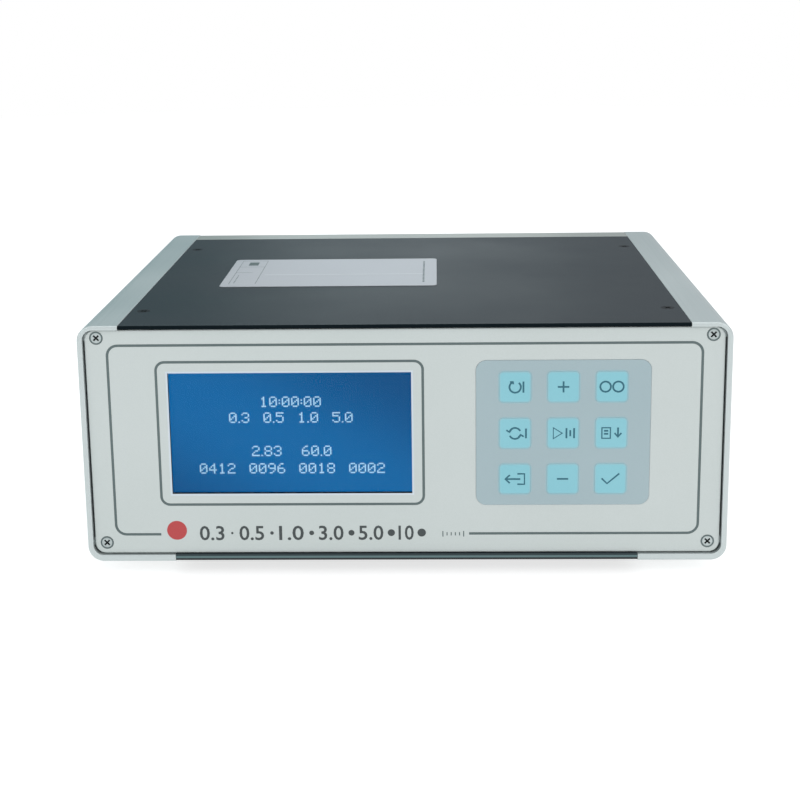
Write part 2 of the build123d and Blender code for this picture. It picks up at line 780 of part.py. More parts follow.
# ---------------------------------------------------------------- screws in place
def front_panel_screws():
    screw = flat_screw(PANEL_SCREW_LENGTH)
    return [facing((x, PANEL_FACE, z), (0, -1, 0)) * screw for x, z in panel_screw_places()]


def rear_panel_screws():
    screw = pan_screw(PANEL_SCREW_LENGTH)
    return [facing((x, REAR_FACE, z), (0, 1, 0)) * screw for x, z in panel_screw_places()]


def cover_screws():
    """Countersunk screws of the top cover and, below, of the bottom cover."""
    long_screw = flat_screw(COVER_SCREW_LENGTH)
    short_screw = flat_screw(BASE_SCREW_LENGTH)
    above = [Pos(x, y, CASE_HEIGHT) * long_screw for x, y in cover_screw_places()]
    below = [facing((x, y, 0), (0, 0, -1)) * short_screw for x, y in base_screw_places()]
    return above + below


def rear_device_screws():
    """The fan's four long screws and the mains inlet's two."""
    long_screw = pan_screw(FAN_SCREW_LENGTH)
    short_screw = pan_screw(PANEL_SCREW_LENGTH)
    out = (0, 1, 0)
    on_fan = [facing((x, REAR_FACE, z), out) * long_screw for x, z in fan_screw_places()]
    face = REAR_FACE + INLET_FLANGE
    on_inlet = [facing((x, face, z), out) * short_screw for x, z in inlet_screw_places()]
    return on_fan + on_inlet


def foot_screws():
    screw = pan_screw(FOOT_SCREW_LENGTH)
    return [facing((x, y, -FOOT_WEB), (0, 0, -1)) * screw for x, y in foot_places()]


def rubber_feet():
    """Four tapered rubber feet, each counterbored for its screw."""
    low_radius = FOOT_RADIUS - FOOT_TAPER
    foot = Pos(0, 0, -FOOT_HEIGHT / 2) * Cone(low_radius, FOOT_RADIUS, FOOT_HEIGHT)
    foot = fillet(foot.edges().sort_by(Axis.Z)[0], FOOT_TAPER / 2)
    foot -= rod_z(0, 0, FOOT_COUNTERBORE, -FOOT_HEIGHT, -FOOT_WEB)
    foot -= rod_z(0, 0, CLEAR_HOLE, -FOOT_HEIGHT, 0)
    return [Pos(x, y, 0) * foot for x, y in foot_places()]


# ---------------------------------------------------------------- keypad
def keypad_overlay():
    """Film and spacer stack that fills the pocket, with a window for each key."""
    front = PANEL_FACE - KEYPAD_PROUD
    back = PANEL_FACE + KEYPAD_POCKET - CIRCUIT_THICKNESS
    outline = keypad_outline(COVER_GAP / 2)
    window = RectangleRounded(KEY_SIZE + 2 * KEY_GAP, KEY_SIZE + 2 * KEY_GAP, KEY_CORNER)
    for x, z in key_places().values():
        outline -= Pos(x, z) * window
    return along_y(outline, front, back)


def keypad_circuit():
    """Printed contact sheet on the pocket's floor, behind all nine keys."""
    back = PANEL_FACE + KEYPAD_POCKET
    return along_y(keypad_outline(COVER_GAP / 2), back - CIRCUIT_THICKNESS, back)


def key(x, z):
    """One embossed key, its bevelled face proud of the film."""
    face = PANEL_FACE - KEYPAD_PROUD - KEY_PROUD
    square = Pos(x, z) * RectangleRounded(KEY_SIZE, KEY_SIZE, KEY_CORNER)
    cap = along_y(square, face, face + KEY_THICKNESS)
    return chamfer(cap.faces().sort_by(Axis.Y)[0].edges(), KEY_EDGE)


# ---------------------------------------------------------------- display
def display_board_front():
    """The depth at which the display's board starts, behind glass and backlight."""
    return PANEL_BACK + DISPLAY_LIP + GLASS_THICKNESS + BACKLIGHT_THICKNESS


def display_window():
    """Clear pane in the panel's cut-out, with a bevelled front edge."""
    outline = display_outline(WINDOW_BORDER - COVER_GAP / 2)
    pane = along_y(outline, PANEL_FACE + WINDOW_RECESS, PANEL_BACK)
    return chamfer(pane.faces().sort_by(Axis.Y)[0].edges(), WINDOW_CHAMFER)


def display_frame():
    """Pressed metal frame of the display, with a lip round the viewing area."""
    back = display_board_front()
    outer = display_outline(DISPLAY_RIM + DISPLAY_WALL)
    frame = along_y(outer, PANEL_BACK, back)
    frame -= along_y(display_outline(0), PANEL_BACK, back)
    frame -= along_y(display_outline(DISPLAY_RIM), PANEL_BACK + DISPLAY_LIP, back)
    return frame


def display_glass():
    front = PANEL_BACK + DISPLAY_LIP
    outline = display_outline(DISPLAY_RIM - COVER_GAP)
    return along_y(outline, front, front + GLASS_THICKNESS)


def display_backlight():
    front = PANEL_BACK + DISPLAY_LIP + GLASS_THICKNESS
    outline = display_outline(DISPLAY_RIM - 2 * COVER_GAP)
    return along_y(outline, front, front + BACKLIGHT_THICKNESS)


def display_board():
    """The display's circuit board, with the header that its ribbon plugs on to."""
    front = display_board_front()
    back = front + BOARD_THICKNESS
    board = along_y(display_outline(DISPLAY_BOARD_MARGIN), front, back)
    header_width = around(DISPLAY_X, RIBBON_WIDTH)
    header_height = around(ribbon_top(), HEADER_HEIGHT)
    return board + block(header_width, (back, back + HEADER_DEPTH), header_height)


def ribbon_top():
    """The height of the middle of the display's header."""
    return DISPLAY_Z - VIEW_HEIGHT / 2 + HEADER_HEIGHT


def display_ribbon():
    """Flat cable from the display's header down to the main board."""
    down = display_board_front() + BOARD_THICKNESS + HEADER_DEPTH / 2
    top = ribbon_top() - HEADER_HEIGHT / 2
    low = board_top() + HEADER_HEIGHT + RIBBON_THICKNESS / 2
    end = main_header_depths()[1]
    path = FilletPolyline((down, top), (down, low), (end, low), radius=RIBBON_BEND)
    return along_x(trace(path, line_width=RIBBON_THICKNESS), *around(DISPLAY_X, RIBBON_WIDTH))


# ---------------------------------------------------------------- boards
def board_top():
    return FLOOR + STANDOFF_HEIGHT + BOARD_THICKNESS


def main_header_depths():
    front = MAIN_BOARD_Y - MAIN_BOARD_DEPTH / 2 + HEADER_DEPTH
    return front, front + HEADER_DEPTH


def board(x, y, width, depth):
    low = FLOOR + STANDOFF_HEIGHT
    return block(around(x, width), around(y, depth), (low, low + BOARD_THICKNESS))


def board_corners(x, y, width, depth):
    """The places of the four standoffs under a board."""
    across = width - 2 * STANDOFF_INSET
    back = depth - 2 * STANDOFF_INSET
    return [(i, j) for i in around(x, across) for j in around(y, back)]


def board_standoffs():
    places = board_corners(MAIN_BOARD_X, MAIN_BOARD_Y, MAIN_BOARD_WIDTH, MAIN_BOARD_DEPTH)
    places += board_corners(POWER_BOARD_X, POWER_BOARD_Y, POWER_BOARD_WIDTH, POWER_BOARD_DEPTH)
    top = FLOOR + STANDOFF_HEIGHT
    return [rod_z(x, y, STANDOFF_RADIUS, FLOOR, top) for x, y in places]


def main_board_parts():
    """Header, processor, memory chips, relays and battery on the main board."""
    base = board_top()
    x, y = MAIN_BOARD_X, MAIN_BOARD_Y
    parts = [
        block(
            around(DISPLAY_X, RIBBON_WIDTH), main_header_depths(), (base, base + HEADER_HEIGHT)
        ),
        block(
            around(x, PROCESSOR_SIZE), around(y, PROCESSOR_SIZE), (base, base + PROCESSOR_HEIGHT)
        ),
        rod_z(x - PART_SPREAD, y, BATTERY_RADIUS, base, base + BATTERY_HEIGHT),
    ]
    for step in row(CHIP_COUNT, CHIP_PITCH):
        depth = around(y + CHIP_ROW, CHIP_DEPTH)
        parts.append(block(around(x + step, CHIP_WIDTH), depth, (base, base + CHIP_HEIGHT)))
    for step in row(RELAY_COUNT, RELAY_PITCH):
        width = around(x + PART_SPREAD + step, RELAY_WIDTH)
        parts.append(block(width, around(y, RELAY_DEPTH), (base, base + RELAY_HEIGHT)))
    return parts


def heat_sink(x, y, base):
    """Upright plate with a comb of fins on its inner side."""
    height = (base, base + SINK_HEIGHT)
    sink = block(around(x, SINK_THICKNESS), around(y, SINK_LENGTH), height)
    fin_root = x - SINK_THICKNESS / 2
    for step in row(FIN_COUNT, FIN_PITCH):
        sink += block((fin_root - FIN_LENGTH, fin_root), around(y + step, FIN_THICKNESS), height)
    return sink


def power_board_parts():
    """Transformer, capacitors, choke and finned heat sink of the power supply."""
    base = board_top()
    x, y = POWER_BOARD_X, POWER_BOARD_Y
    height = (base, base + TRANSFORMER_HEIGHT)
    core = block(around(x, TRANSFORMER_WIDTH), around(y, TRANSFORMER_DEPTH), height)
    parts = [fillet(core.edges().filter_by(Axis.Z), TRANSFORMER_CORNER)]
    capacitor_x = x - TRANSFORMER_WIDTH / 2 - POWER_PART_GAP - CAPACITOR_RADIUS
    for step in row(CAPACITOR_COUNT, CAPACITOR_PITCH):
        top = base + CAPACITOR_HEIGHT
        parts.append(rod_z(capacitor_x, y + step, CAPACITOR_RADIUS, base, top))
    sink_x = x + TRANSFORMER_WIDTH / 2 + POWER_PART_GAP + FIN_LENGTH + SINK_THICKNESS / 2
    parts.append(heat_sink(sink_x, y, base))
    choke_y = y - TRANSFORMER_DEPTH / 2 - POWER_PART_GAP - CHOKE_RADIUS
    parts.append(rod_z(x, choke_y, CHOKE_RADIUS, base, base + CHOKE_HEIGHT))
    return parts


# ---------------------------------------------------------------- mains inlet
def inlet_face():
    return REAR_FACE + INLET_FLANGE


def socket_profile():
    """Mains socket's mouth, its two upper corners bevelled."""
    profile = Pos(INLET_X, INLET_Z - SOCKET_DROP) * Rectangle(SOCKET_WIDTH, SOCKET_HEIGHT)
    upper = profile.vertices().group_by(Axis.Y)[-1]
    return chamfer(upper, SOCKET_BEVEL)


def fuse_profile(gap):
    width = around(INLET_X, FUSE_WIDTH + 2 * gap)
    height = around(INLET_Z + FUSE_RISE, FUSE_HEIGHT + 2 * gap)
    return rect(width, height)


def rocker_pivot():
    """The rocker's axis: how far back and how high it lies."""
    return inlet_face() - ROCKER_SETBACK, INLET_Z + ROCKER_RISE


def inlet_housing():
    """Moulded three-in-one mains module: socket, fuse drawer's bay and switch's bay."""
    face = inlet_face()
    back = REAR_FACE - INLET_BODY_DEPTH
    body_profile = Pos(INLET_X, INLET_Z) * Rectangle(INLET_BODY_WIDTH, INLET_BODY_HEIGHT)
    flange_profile = Pos(INLET_X, INLET_Z) * RectangleRounded(
        INLET_FLANGE_WIDTH, INLET_FLANGE_HEIGHT, PANEL_CORNER
    )
    flange = along_y(flange_profile, REAR_FACE, face)
    flange = chamfer(flange.faces().sort_by(Axis.Y)[-1].edges(), INLET_CHAMFER)
    housing = flange + along_y(body_profile, back, REAR_FACE)
    housing -= along_y(socket_profile(), face - SOCKET_DEPTH, face)
    housing -= along_y(fuse_profile(MOVING_GAP), face - FUSE_DEPTH - MOVING_GAP, face)
    pivot_y, pivot_z = rocker_pivot()
    bay = ROCKER_RADIUS + ROCKER_GAP
    bay_width = ROCKER_WIDTH + 2 * ROCKER_GAP
    housing -= block(around(INLET_X, bay_width), (pivot_y - bay, face), around(pivot_z, 2 * bay))
    for x, z in inlet_screw_places():
        housing -= rod_y(x, z, CLEAR_HOLE, REAR_FACE, face)
    return housing


def inlet_pins():
    """The socket's three blades, each with its solder tab behind the housing."""
    mouth = inlet_face()
    floor = mouth - SOCKET_DEPTH
    body_back = REAR_FACE - INLET_BODY_DEPTH
    pins = []
    for step in (-1, 0, 1):
        x = INLET_X + step * PIN_PITCH
        rise = PIN_OFFSET if step == 0 else -PIN_OFFSET
        z = INLET_Z - SOCKET_DROP + rise
        blade = block(around(x, PIN_WIDTH), (floor, mouth - PIN_SETBACK), around(z, PIN_HEIGHT))
        pins.append(chamfer(blade.faces().sort_by(Axis.Y)[-1].edges(), PIN_WIDTH / 4))
        tab = block(
            around(x, PIN_WIDTH / 2), (body_back - TAB_LENGTH, body_back), around(z, PIN_HEIGHT)
        )
        pins.append(tab)
    return pins


def fuse_drawer():
    """Fuse carrier with a finger ridge on its face and a trough for the fuse."""
    face = inlet_face()
    drawer = along_y(fuse_profile(0), face - FUSE_DEPTH, face)
    ridge = block(
        around(INLET_X, RIDGE_WIDTH),
        (face, face + FUSE_PROUD),
        around(INLET_Z + FUSE_RISE, RIDGE_HEIGHT),
    )
    middle = face - FUSE_DEPTH / 2
    trough = block(
        around(INLET_X, 2 * (FUSE_RADIUS + FUSE_GAP)),
        around(middle, FUSE_LENGTH + 2 * FUSE_GAP),
        (INLET_Z + FUSE_RISE - FUSE_RADIUS, INLET_Z + FUSE_RISE + FUSE_HEIGHT / 2),
    )
    return drawer + ridge - trough


def fuse():
    """Glass cartridge fuse lying in the drawer's trough."""
    middle = inlet_face() - FUSE_DEPTH / 2
    z = INLET_Z + FUSE_RISE
    return rod_y(INLET_X, z, FUSE_RADIUS, *around(middle, FUSE_LENGTH))


def power_rocker():
    """Rocker of the power switch: a drum about its pivot with two flats on its face."""
    pivot_y, pivot_z = rocker_pivot()
    drum = Circle(ROCKER_RADIUS)
    reach = 2 * ROCKER_RADIUS
    for side in (-1, 1):
        flat = Pos(ROCKER_SETBACK + reach, side * reach) * Rectangle(2 * reach, 2 * reach)
        drum -= Rot(0, 0, side * ROCKER_TILT) * flat
    drum = Pos(pivot_y, pivot_z) * Rot(0, 0, ROCKER_TILT) * drum
    return along_x(drum, *around(INLET_X, ROCKER_WIDTH))


# ---------------------------------------------------------------- fan
def fan_frame():
    """Square fan frame with a round duct and, on its inner side, a spider for the motor."""
    back = REAR_BACK - FAN_DEPTH
    square = Pos(FAN_X, FAN_Z) * RectangleRounded(FAN_SIZE, FAN_SIZE, FAN_CORNER)
    duct = Pos(FAN_X, FAN_Z) * Circle(FAN_BORE)
    frame = along_y(square - duct, back, REAR_BACK)
    spider = Circle(FAN_HUB)
    for turn in (0, 90):
        spider += Rot(0, 0, turn) * Rectangle(2 * FAN_BORE + FAN_STRUT, FAN_STRUT)
    frame += along_y(Pos(FAN_X, FAN_Z) * spider, back, back + FAN_STRUT_DEPTH)
    spindle_end = back + FAN_DEPTH / 2
    frame += rod_y(FAN_X, FAN_Z, FAN_SPINDLE, back, spindle_end)
    for x, z in fan_screw_places():
        frame -= rod_y(x, z, CLEAR_HOLE, back, REAR_BACK)
    return frame


def blade_section(radius, lean):
    """Cambered section of a fan blade at a radius, leaning from the fan's axis."""
    half = FAN_BLADE_DEPTH / 2
    arc = ThreePointArc((0, -half), (FAN_CAMBER, 0), (0, half))
    stretch = 1 / cos(radians(lean))
    section = Rot(0, 0, -lean) * scale(trace(arc, line_width=FAN_BLADE_THICKNESS), (1, stretch, 1))
    return Plane(origin=(radius, 0, 0), x_dir=(0, 1, 0), z_dir=(1, 0, 0)) * section


def fan_rotor():
    """Cup hub on the spindle, with lofted, twisted blades that clear the duct."""
    start = REAR_BACK - FAN_DEPTH + FAN_STRUT_DEPTH + FAN_END_GAP
    end = REAR_BACK - FAN_END_GAP
    depth = end - start
    root = FAN_HUB - FAN_END_GAP
    swept = Circle(FAN_BORE - FAN_TIP_GAP) - Circle(root)
    blade = loft([blade_section(root - 1, FAN_ROOT_LEAN), blade_section(FAN_BORE, FAN_TIP_LEAN)])
    blade &= along_z(swept, -depth / 2, depth / 2)
    rotor = along_z(Circle(FAN_HUB), -depth / 2, depth / 2)
    rotor = fillet(rotor.edges().sort_by(Axis.Z)[-1], FAN_HUB_ROUND)
    for index in range(FAN_BLADES):
        rotor += Rot(0, 0, index * 360 / FAN_BLADES) * blade
    bore = FAN_SPINDLE + SHAFT_CLEARANCE
    spindle_length = FAN_DEPTH / 2 - FAN_STRUT_DEPTH
    low = -depth / 2
    rotor -= along_z(Circle(bore), low, low + spindle_length + FAN_END_GAP)
    middle = (FAN_X, (start + end) / 2, FAN_Z)
    return facing(middle, (0, 1, 0)) * rotor


# ---------------------------------------------------------------- serial port
def serial_profile(grow):
    """D-shaped outline of the port, wider at the top."""
    half = SERIAL_SHELL_WIDTH / 2 + grow
    high = SERIAL_SHELL_HEIGHT / 2 + grow
    taper = 2 * high * sin(radians(SERIAL_SHELL_SLANT))
    corners = [(-half, high), (half, high), (half - taper, -high), (-half + taper, -high)]
    outline = make_face(Polyline(*corners, close=True))
    return Pos(SERIAL_X, SERIAL_Z) * fillet(outline.vertices(), SERIAL_CORNER)


def serial_port():
    """Nine-way socket: flange, D-shaped shell with contact holes, jack screws and body."""
    face = REAR_FACE + SERIAL_FLANGE
    flange = Pos(SERIAL_X, SERIAL_Z) * RectangleRounded(
        SERIAL_FLANGE_WIDTH, SERIAL_FLANGE_HEIGHT, SERIAL_CORNER
    )
    port = along_y(flange, REAR_FACE, face)
    port += along_y(serial_profile(0), REAR_BACK - SERIAL_BODY_DEPTH, face + SERIAL_SHELL_REACH)
    for x in around(SERIAL_X, SERIAL_SCREW_PITCH):
        stud = RegularPolygon(SERIAL_SCREW_RADIUS, 6, major_radius=True)
        port += along_y(Pos(x, SERIAL_Z) * stud, face, face + SERIAL_SCREW_REACH)
    mouth = face + SERIAL_SHELL_REACH
    for side, count in ((1, 5), (-1, 4)):
        z = SERIAL_Z + side * SERIAL_CONTACT_PITCH / 2
        for step in row(count, SERIAL_CONTACT_PITCH):
            x = SERIAL_X + step
            port -= rod_y(x, z, SERIAL_CONTACT_RADIUS, mouth - SERIAL_CONTACT_DEPTH, mouth)
    return port


# ---------------------------------------------------------------- air fittings and tubes
def hose_fitting(x, z):
    """Turned bulkhead fitting: a hose nipple at each end, flange, thread and nut between."""
    tip = CASE_DEPTH + NIPPLE_REACH
    flange_face = REAR_FACE + FITTING_FLANGE
    nut_back = REAR_BACK - FITTING_NUT_THICKNESS
    fitting = rod_y(x, z, NIPPLE_RADIUS, fitting_tail(), tip)
    fitting = chamfer(fitting.edges().sort_by(Axis.Y)[-1], NIPPLE_CHAMFER)
    fitting += rod_y(x, z, FITTING_FLANGE_RADIUS, REAR_FACE, flange_face)
    fitting += rod_y(x, z, FITTING_THREAD, nut_back, REAR_FACE)
    nut = RegularPolygon(FITTING_NUT, 6, major_radius=True)
    fitting += along_y(Pos(x, z) * nut, nut_back, REAR_BACK)
    return fitting - rod_y(x, z, NIPPLE_BORE, fitting_tail(), tip)


def fitting_tail():
    """How far forward the inner nipple of a bulkhead fitting reaches."""
    return REAR_BACK - FITTING_NUT_THICKNESS - NIPPLE_GRIP


def hose(*points):
    """Silicone tube along a route of straight runs joined by equal bends."""
    path = FilletPolyline(*points, radius=TUBE_BEND) if len(points) > 2 else Line(*points)
    ring = Circle(TUBE_RADIUS) - Circle(NIPPLE_RADIUS + TUBE_CLEARANCE)
    start = Plane(origin=path @ 0, z_dir=path % 0)
    return sweep(start * ring, path=path)


def sample_tube():
    """From the sample inlet forward, then round to the sensor's right-hand nozzle."""
    nozzle = SENSOR_X + SENSOR_LENGTH / 2 + SENSOR_NOZZLE
    return hose(
        (SAMPLE_X, fitting_tail() + TUBE_OVERLAP, FLOW_Z),
        (SAMPLE_X, SENSOR_Y, FLOW_Z),
        (nozzle - TUBE_OVERLAP, SENSOR_Y, FLOW_Z),
    )


def filter_tube():
    """From the sensor's left-hand nozzle back to the filter."""
    nozzle = SENSOR_X - SENSOR_LENGTH / 2 - SENSOR_NOZZLE
    filter_end = FILTER_Y - FILTER_LENGTH / 2 - FILTER_SHOULDER - FILTER_NIPPLE
    return hose(
        (nozzle + TUBE_OVERLAP, SENSOR_Y, FLOW_Z),
        (FILTER_X, SENSOR_Y, FLOW_Z),
        (FILTER_X, filter_end + TUBE_OVERLAP, FLOW_Z),
    )


def blower_tube():
    """From the filter back and round to the blower's inlet."""
    filter_end = FILTER_Y + FILTER_LENGTH / 2 + FILTER_SHOULDER + FILTER_NIPPLE
    inlet = BLOWER_FRONT - BLOWER_WALL - NIPPLE_GRIP
    return hose(
        (FILTER_X, filter_end - TUBE_OVERLAP, FLOW_Z),
        (FILTER_X, BLOWER_Y, FLOW_Z),
        (inlet + TUBE_OVERLAP, BLOWER_Y, FLOW_Z),
    )


def exhaust_tube():
    """Straight piece from the blower's outlet to the exhaust fitting."""
    return hose(
        (BLOWER_X, outlet_end() - TUBE_OVERLAP, EXHAUST_Z),
        (BLOWER_X, fitting_tail() + TUBE_OVERLAP, EXHAUST_Z),
    )


def filter_capsule():
    """Sealed particle filter: a drum with coned shoulders and a nipple at each end."""
    half = FILTER_LENGTH / 2
    shoulder = half + FILTER_SHOULDER
    end = shoulder + FILTER_NIPPLE
    section = Polyline(
        (0, -end),
        (NIPPLE_RADIUS, -end),
        (NIPPLE_RADIUS, -shoulder),
        (FILTER_RADIUS, -half),
        (FILTER_RADIUS, half),
        (NIPPLE_RADIUS, shoulder),
        (NIPPLE_RADIUS, end),
        (0, end),
        close=True,
    )
    drum = revolve(make_face(section), axis=Axis.Y)
    for side in (-1, 1):
        band = Circle(FILTER_RADIUS) - Circle(FILTER_RADIUS - FILTER_BAND_DEPTH)
        drum -= along_y(band, *around(side * (half - FILTER_BAND_INSET), FILTER_BAND))
    return Pos(FILTER_X, FILTER_Y, FLOW_Z) * drum


def filter_cradle():
    """Bent saddle that carries the filter from the floor."""
    top = FLOW_Z - FILTER_RADIUS * cos(radians(45))
    cradle = block(
        around(FILTER_X, CRADLE_WIDTH), around(FILTER_Y, CRADLE_DEPTH), (FLOOR, top)
    )
    cradle -= rod_y(FILTER_X, FLOW_Z, FILTER_RADIUS + COVER_GAP / 2, 0, CASE_DEPTH)
    inner = CRADLE_WIDTH - 2 * BRACKET_THICKNESS
    hollow = block(
        around(FILTER_X, inner),
        around(FILTER_Y, CRADLE_DEPTH - 2 * BRACKET_THICKNESS),
        (FLOOR, FLOW_Z - FILTER_RADIUS - BRACKET_THICKNESS),
    )
    return cradle - hollow


# ---------------------------------------------------------------- optical sensor
def sensor_block():
    """Milled chamber: air crosses in x, the laser in y, and the detector looks down in z."""
    bottom = FLOW_Z - SENSOR_HEIGHT / 2
    top = FLOW_Z + SENSOR_HEIGHT / 2
    body = block(around(SENSOR_X, SENSOR_LENGTH), around(SENSOR_Y, SENSOR_DEPTH), (bottom, top))
    body = chamfer(body.edges().filter_by(Axis.Z), SENSOR_EDGE)
    reach = SENSOR_LENGTH + 2 * SENSOR_NOZZLE
    body += rod_x(SENSOR_Y, FLOW_Z, NIPPLE_RADIUS, *around(SENSOR_X, reach))
    body -= rod_x(SENSOR_Y, FLOW_Z, NIPPLE_BORE, *around(SENSOR_X, reach))
    body -= rod_y(SENSOR_X, FLOW_Z, NIPPLE_BORE, *around(SENSOR_Y, SENSOR_DEPTH))
    body -= Pos(SENSOR_X, SENSOR_Y, FLOW_Z) * Sphere(SENSOR_CHAMBER)
    body -= rod_z(SENSOR_X, SENSOR_Y, DETECTOR_BORE, FLOW_Z, top)
    front = SENSOR_Y - SENSOR_DEPTH / 2
    back = SENSOR_Y + SENSOR_DEPTH / 2
    body -= rod_y(SENSOR_X, FLOW_Z, LASER_RADIUS + TUBE_CLEARANCE, front, front + LASER_SEAT)
    body -= rod_y(SENSOR_X, FLOW_Z, LASER_RADIUS + TUBE_CLEARANCE, back - LASER_SEAT, back)
    return body


def laser_module():
    """Barrel of the laser diode and its lens, seated in the block's front bore."""
    seat = SENSOR_Y - SENSOR_DEPTH / 2 + LASER_SEAT
    barrel = rod_y(SENSOR_X, FLOW_Z, LASER_RADIUS, seat - LASER_LENGTH, seat)
    return barrel - rod_y(SENSOR_X, FLOW_Z, NIPPLE_BORE / 2, seat - LASER_SEAT, seat)


def light_trap():
    """Blind horn that swallows the beam, spigoted into the block's rear bore."""
    back = SENSOR_Y + SENSOR_DEPTH / 2
    trap = rod_y(SENSOR_X, FLOW_Z, LASER_RADIUS, back - LASER_SEAT, back)
    trap += rod_y(SENSOR_X, FLOW_Z, TRAP_RADIUS, back, back + TRAP_LENGTH)
    cone_length = LASER_SEAT + TRAP_LENGTH / 2
    cone = Cone(TRAP_MOUTH, TRAP_POINT, cone_length)
    hollow = facing((SENSOR_X, back - LASER_SEAT + cone_length / 2, FLOW_Z), (0, 1, 0)) * cone
    return trap - hollow


def detector_housing():
    """Screened can on top of the block that holds the photodetector and its amplifier."""
    top = FLOW_Z + SENSOR_HEIGHT / 2
    size = DETECTOR_SIZE
    can = block(around(SENSOR_X, size), around(SENSOR_Y, size), (top, top + DETECTOR_HEIGHT))
    return fillet(can.edges().filter_by(Axis.Z), SENSOR_EDGE)


def sensor_pillars():
    """Four pillars that lift the sensor from the floor."""
    across = SENSOR_LENGTH - 2 * PILLAR_INSET
    back = SENSOR_DEPTH - 2 * PILLAR_INSET
    top = FLOW_Z - SENSOR_HEIGHT / 2
    return [
        rod_z(x, y, PILLAR_RADIUS, FLOOR, top)
        for x in around(SENSOR_X, across)
        for y in around(SENSOR_Y, back)
    ]


# ---------------------------------------------------------------- blower
def volute(start_radius):
    """Scroll outline of four tangent quarter turns, opening towards its outlet below."""
    start = (0, -start_radius - VOLUTE_GROWTH)
    quarters = [JernArc(start, (-1, 0), start_radius + 0.75 * VOLUTE_GROWTH, -90)]
    for share in (0.5, 0.25, 0):
        last = quarters[-1]
        radius = start_radius + share * VOLUTE_GROWTH
        quarters.append(JernArc(last @ 1, last % 1, radius, -90))
    return make_face(quarters + [Line(quarters[-1] @ 1, start)])


def outlet_end():
    """The depth at which the blower's outlet nipple ends."""
    return BLOWER_Y + OUTLET_LENGTH


def blower_housing():
    """Cast scroll with a tangent outlet, open towards its inlet plate."""
    place = Pos(BLOWER_Y, FLOW_Z)
    shell = along_x(place * volute(VOLUTE_START), BLOWER_FRONT, BLOWER_BACK)
    duct_bottom = FLOW_Z - VOLUTE_START - VOLUTE_GROWTH
    duct_top = 2 * EXHAUST_Z - duct_bottom
    duct_end = outlet_end() - NIPPLE_GRIP
    duct = block((BLOWER_FRONT, BLOWER_BACK), (BLOWER_Y, duct_end), (duct_bottom, duct_top))
    shell += duct
    shell += rod_y(BLOWER_X, EXHAUST_Z, NIPPLE_RADIUS, duct_end, outlet_end())
    inner_back = BLOWER_BACK - BLOWER_WALL
    scroll = place * volute(VOLUTE_START - BLOWER_WALL)
    shell -= along_x(scroll, BLOWER_FRONT, inner_back)
    shell -= rod_y(BLOWER_X, EXHAUST_Z, NIPPLE_BORE, BLOWER_Y, outlet_end())
    shell -= rod_x(BLOWER_Y, FLOW_Z, SHAFT_HOLE, inner_back, BLOWER_BACK)
    return shell


def blower_inlet_plate():
    """Plate that closes the scroll, with the inlet nipple in its middle."""
    place = Pos(BLOWER_Y, FLOW_Z)
    front = BLOWER_FRONT - BLOWER_WALL
    plate = along_x(place * volute(VOLUTE_START), front, BLOWER_FRONT)
    plate += rod_x(BLOWER_Y, FLOW_Z, NIPPLE_RADIUS, front - NIPPLE_GRIP, front)
    return plate - rod_x(BLOWER_Y, FLOW_Z, NIPPLE_BORE, front - NIPPLE_GRIP, BLOWER_FRONT)


def blower_impeller():
    """Radial impeller: disc, hub and backward-curved blades, pressed on the shaft."""
    disc = along_z(Circle(IMPELLER_RADIUS), 0, IMPELLER_DISC)
    disc += along_z(Circle(IMPELLER_HUB), 0, IMPELLER_DISC + IMPELLER_BLADE_HEIGHT)
    tip = IMPELLER_RADIUS - IMPELLER_RIM
    middle = (IMPELLER_EYE + tip) / 2
    arc = ThreePointArc(
        (IMPELLER_EYE, 0), polar(middle, IMPELLER_BULGE), polar(tip, IMPELLER_SWEEP)
    )
    outline = trace(arc, line_width=IMPELLER_BLADE_THICKNESS)
    blade = along_z(outline, IMPELLER_DISC, IMPELLER_DISC + IMPELLER_BLADE_HEIGHT)
    for index in range(IMPELLER_BLADES):
        disc += Rot(0, 0, index * 360 / IMPELLER_BLADES) * blade
    disc -= along_z(Circle(SHAFT_RADIUS), 0, IMPELLER_DISC + IMPELLER_BLADE_HEIGHT)
    seat = BLOWER_BACK - BLOWER_WALL - IMPELLER_DISC
    return facing((seat, BLOWER_Y, FLOW_Z), (-1, 0, 0)) * disc


def blower_shaft():
    """Steel shaft from the impeller into the motor."""
    start = BLOWER_BACK - BLOWER_WALL - 2 * IMPELLER_DISC - IMPELLER_BLADE_HEIGHT
    return rod_x(BLOWER_Y, FLOW_Z, SHAFT_RADIUS, start, start + SHAFT_LENGTH)


def blower_motor():
    """Motor can behind the scroll, bored for its shaft."""
    can = rod_x(BLOWER_Y, FLOW_Z, MOTOR_RADIUS, BLOWER_BACK, BLOWER_BACK + MOTOR_LENGTH)
    can = chamfer(can.edges().sort_by(Axis.X)[-1], MOTOR_CHAMFER)
    bore = SHAFT_RADIUS + SHAFT_CLEARANCE
    bore_end = BLOWER_BACK + MOTOR_LENGTH - MOTOR_END
    return can - rod_x(BLOWER_Y, FLOW_Z, bore, BLOWER_BACK, bore_end)


def blower_bracket():
    """Angle that carries the motor by its underside."""
    start = BLOWER_BACK + MOTOR_END
    width = (start, start + BRACKET_FOOT)
    top = FLOW_Z - MOTOR_RADIUS + BRACKET_RISE
    bracket = block(width, around(BLOWER_Y, BRACKET_DEPTH), (FLOOR, top))
    bracket -= rod_x(BLOWER_Y, FLOW_Z, MOTOR_RADIUS + COVER_GAP / 2, 0, CASE_WIDTH)
    inner = around(BLOWER_Y, BRACKET_DEPTH - 2 * BRACKET_THICKNESS)
    return bracket - block(width, inner, (FLOOR, FLOW_Z - MOTOR_RADIUS - BRACKET_THICKNESS))


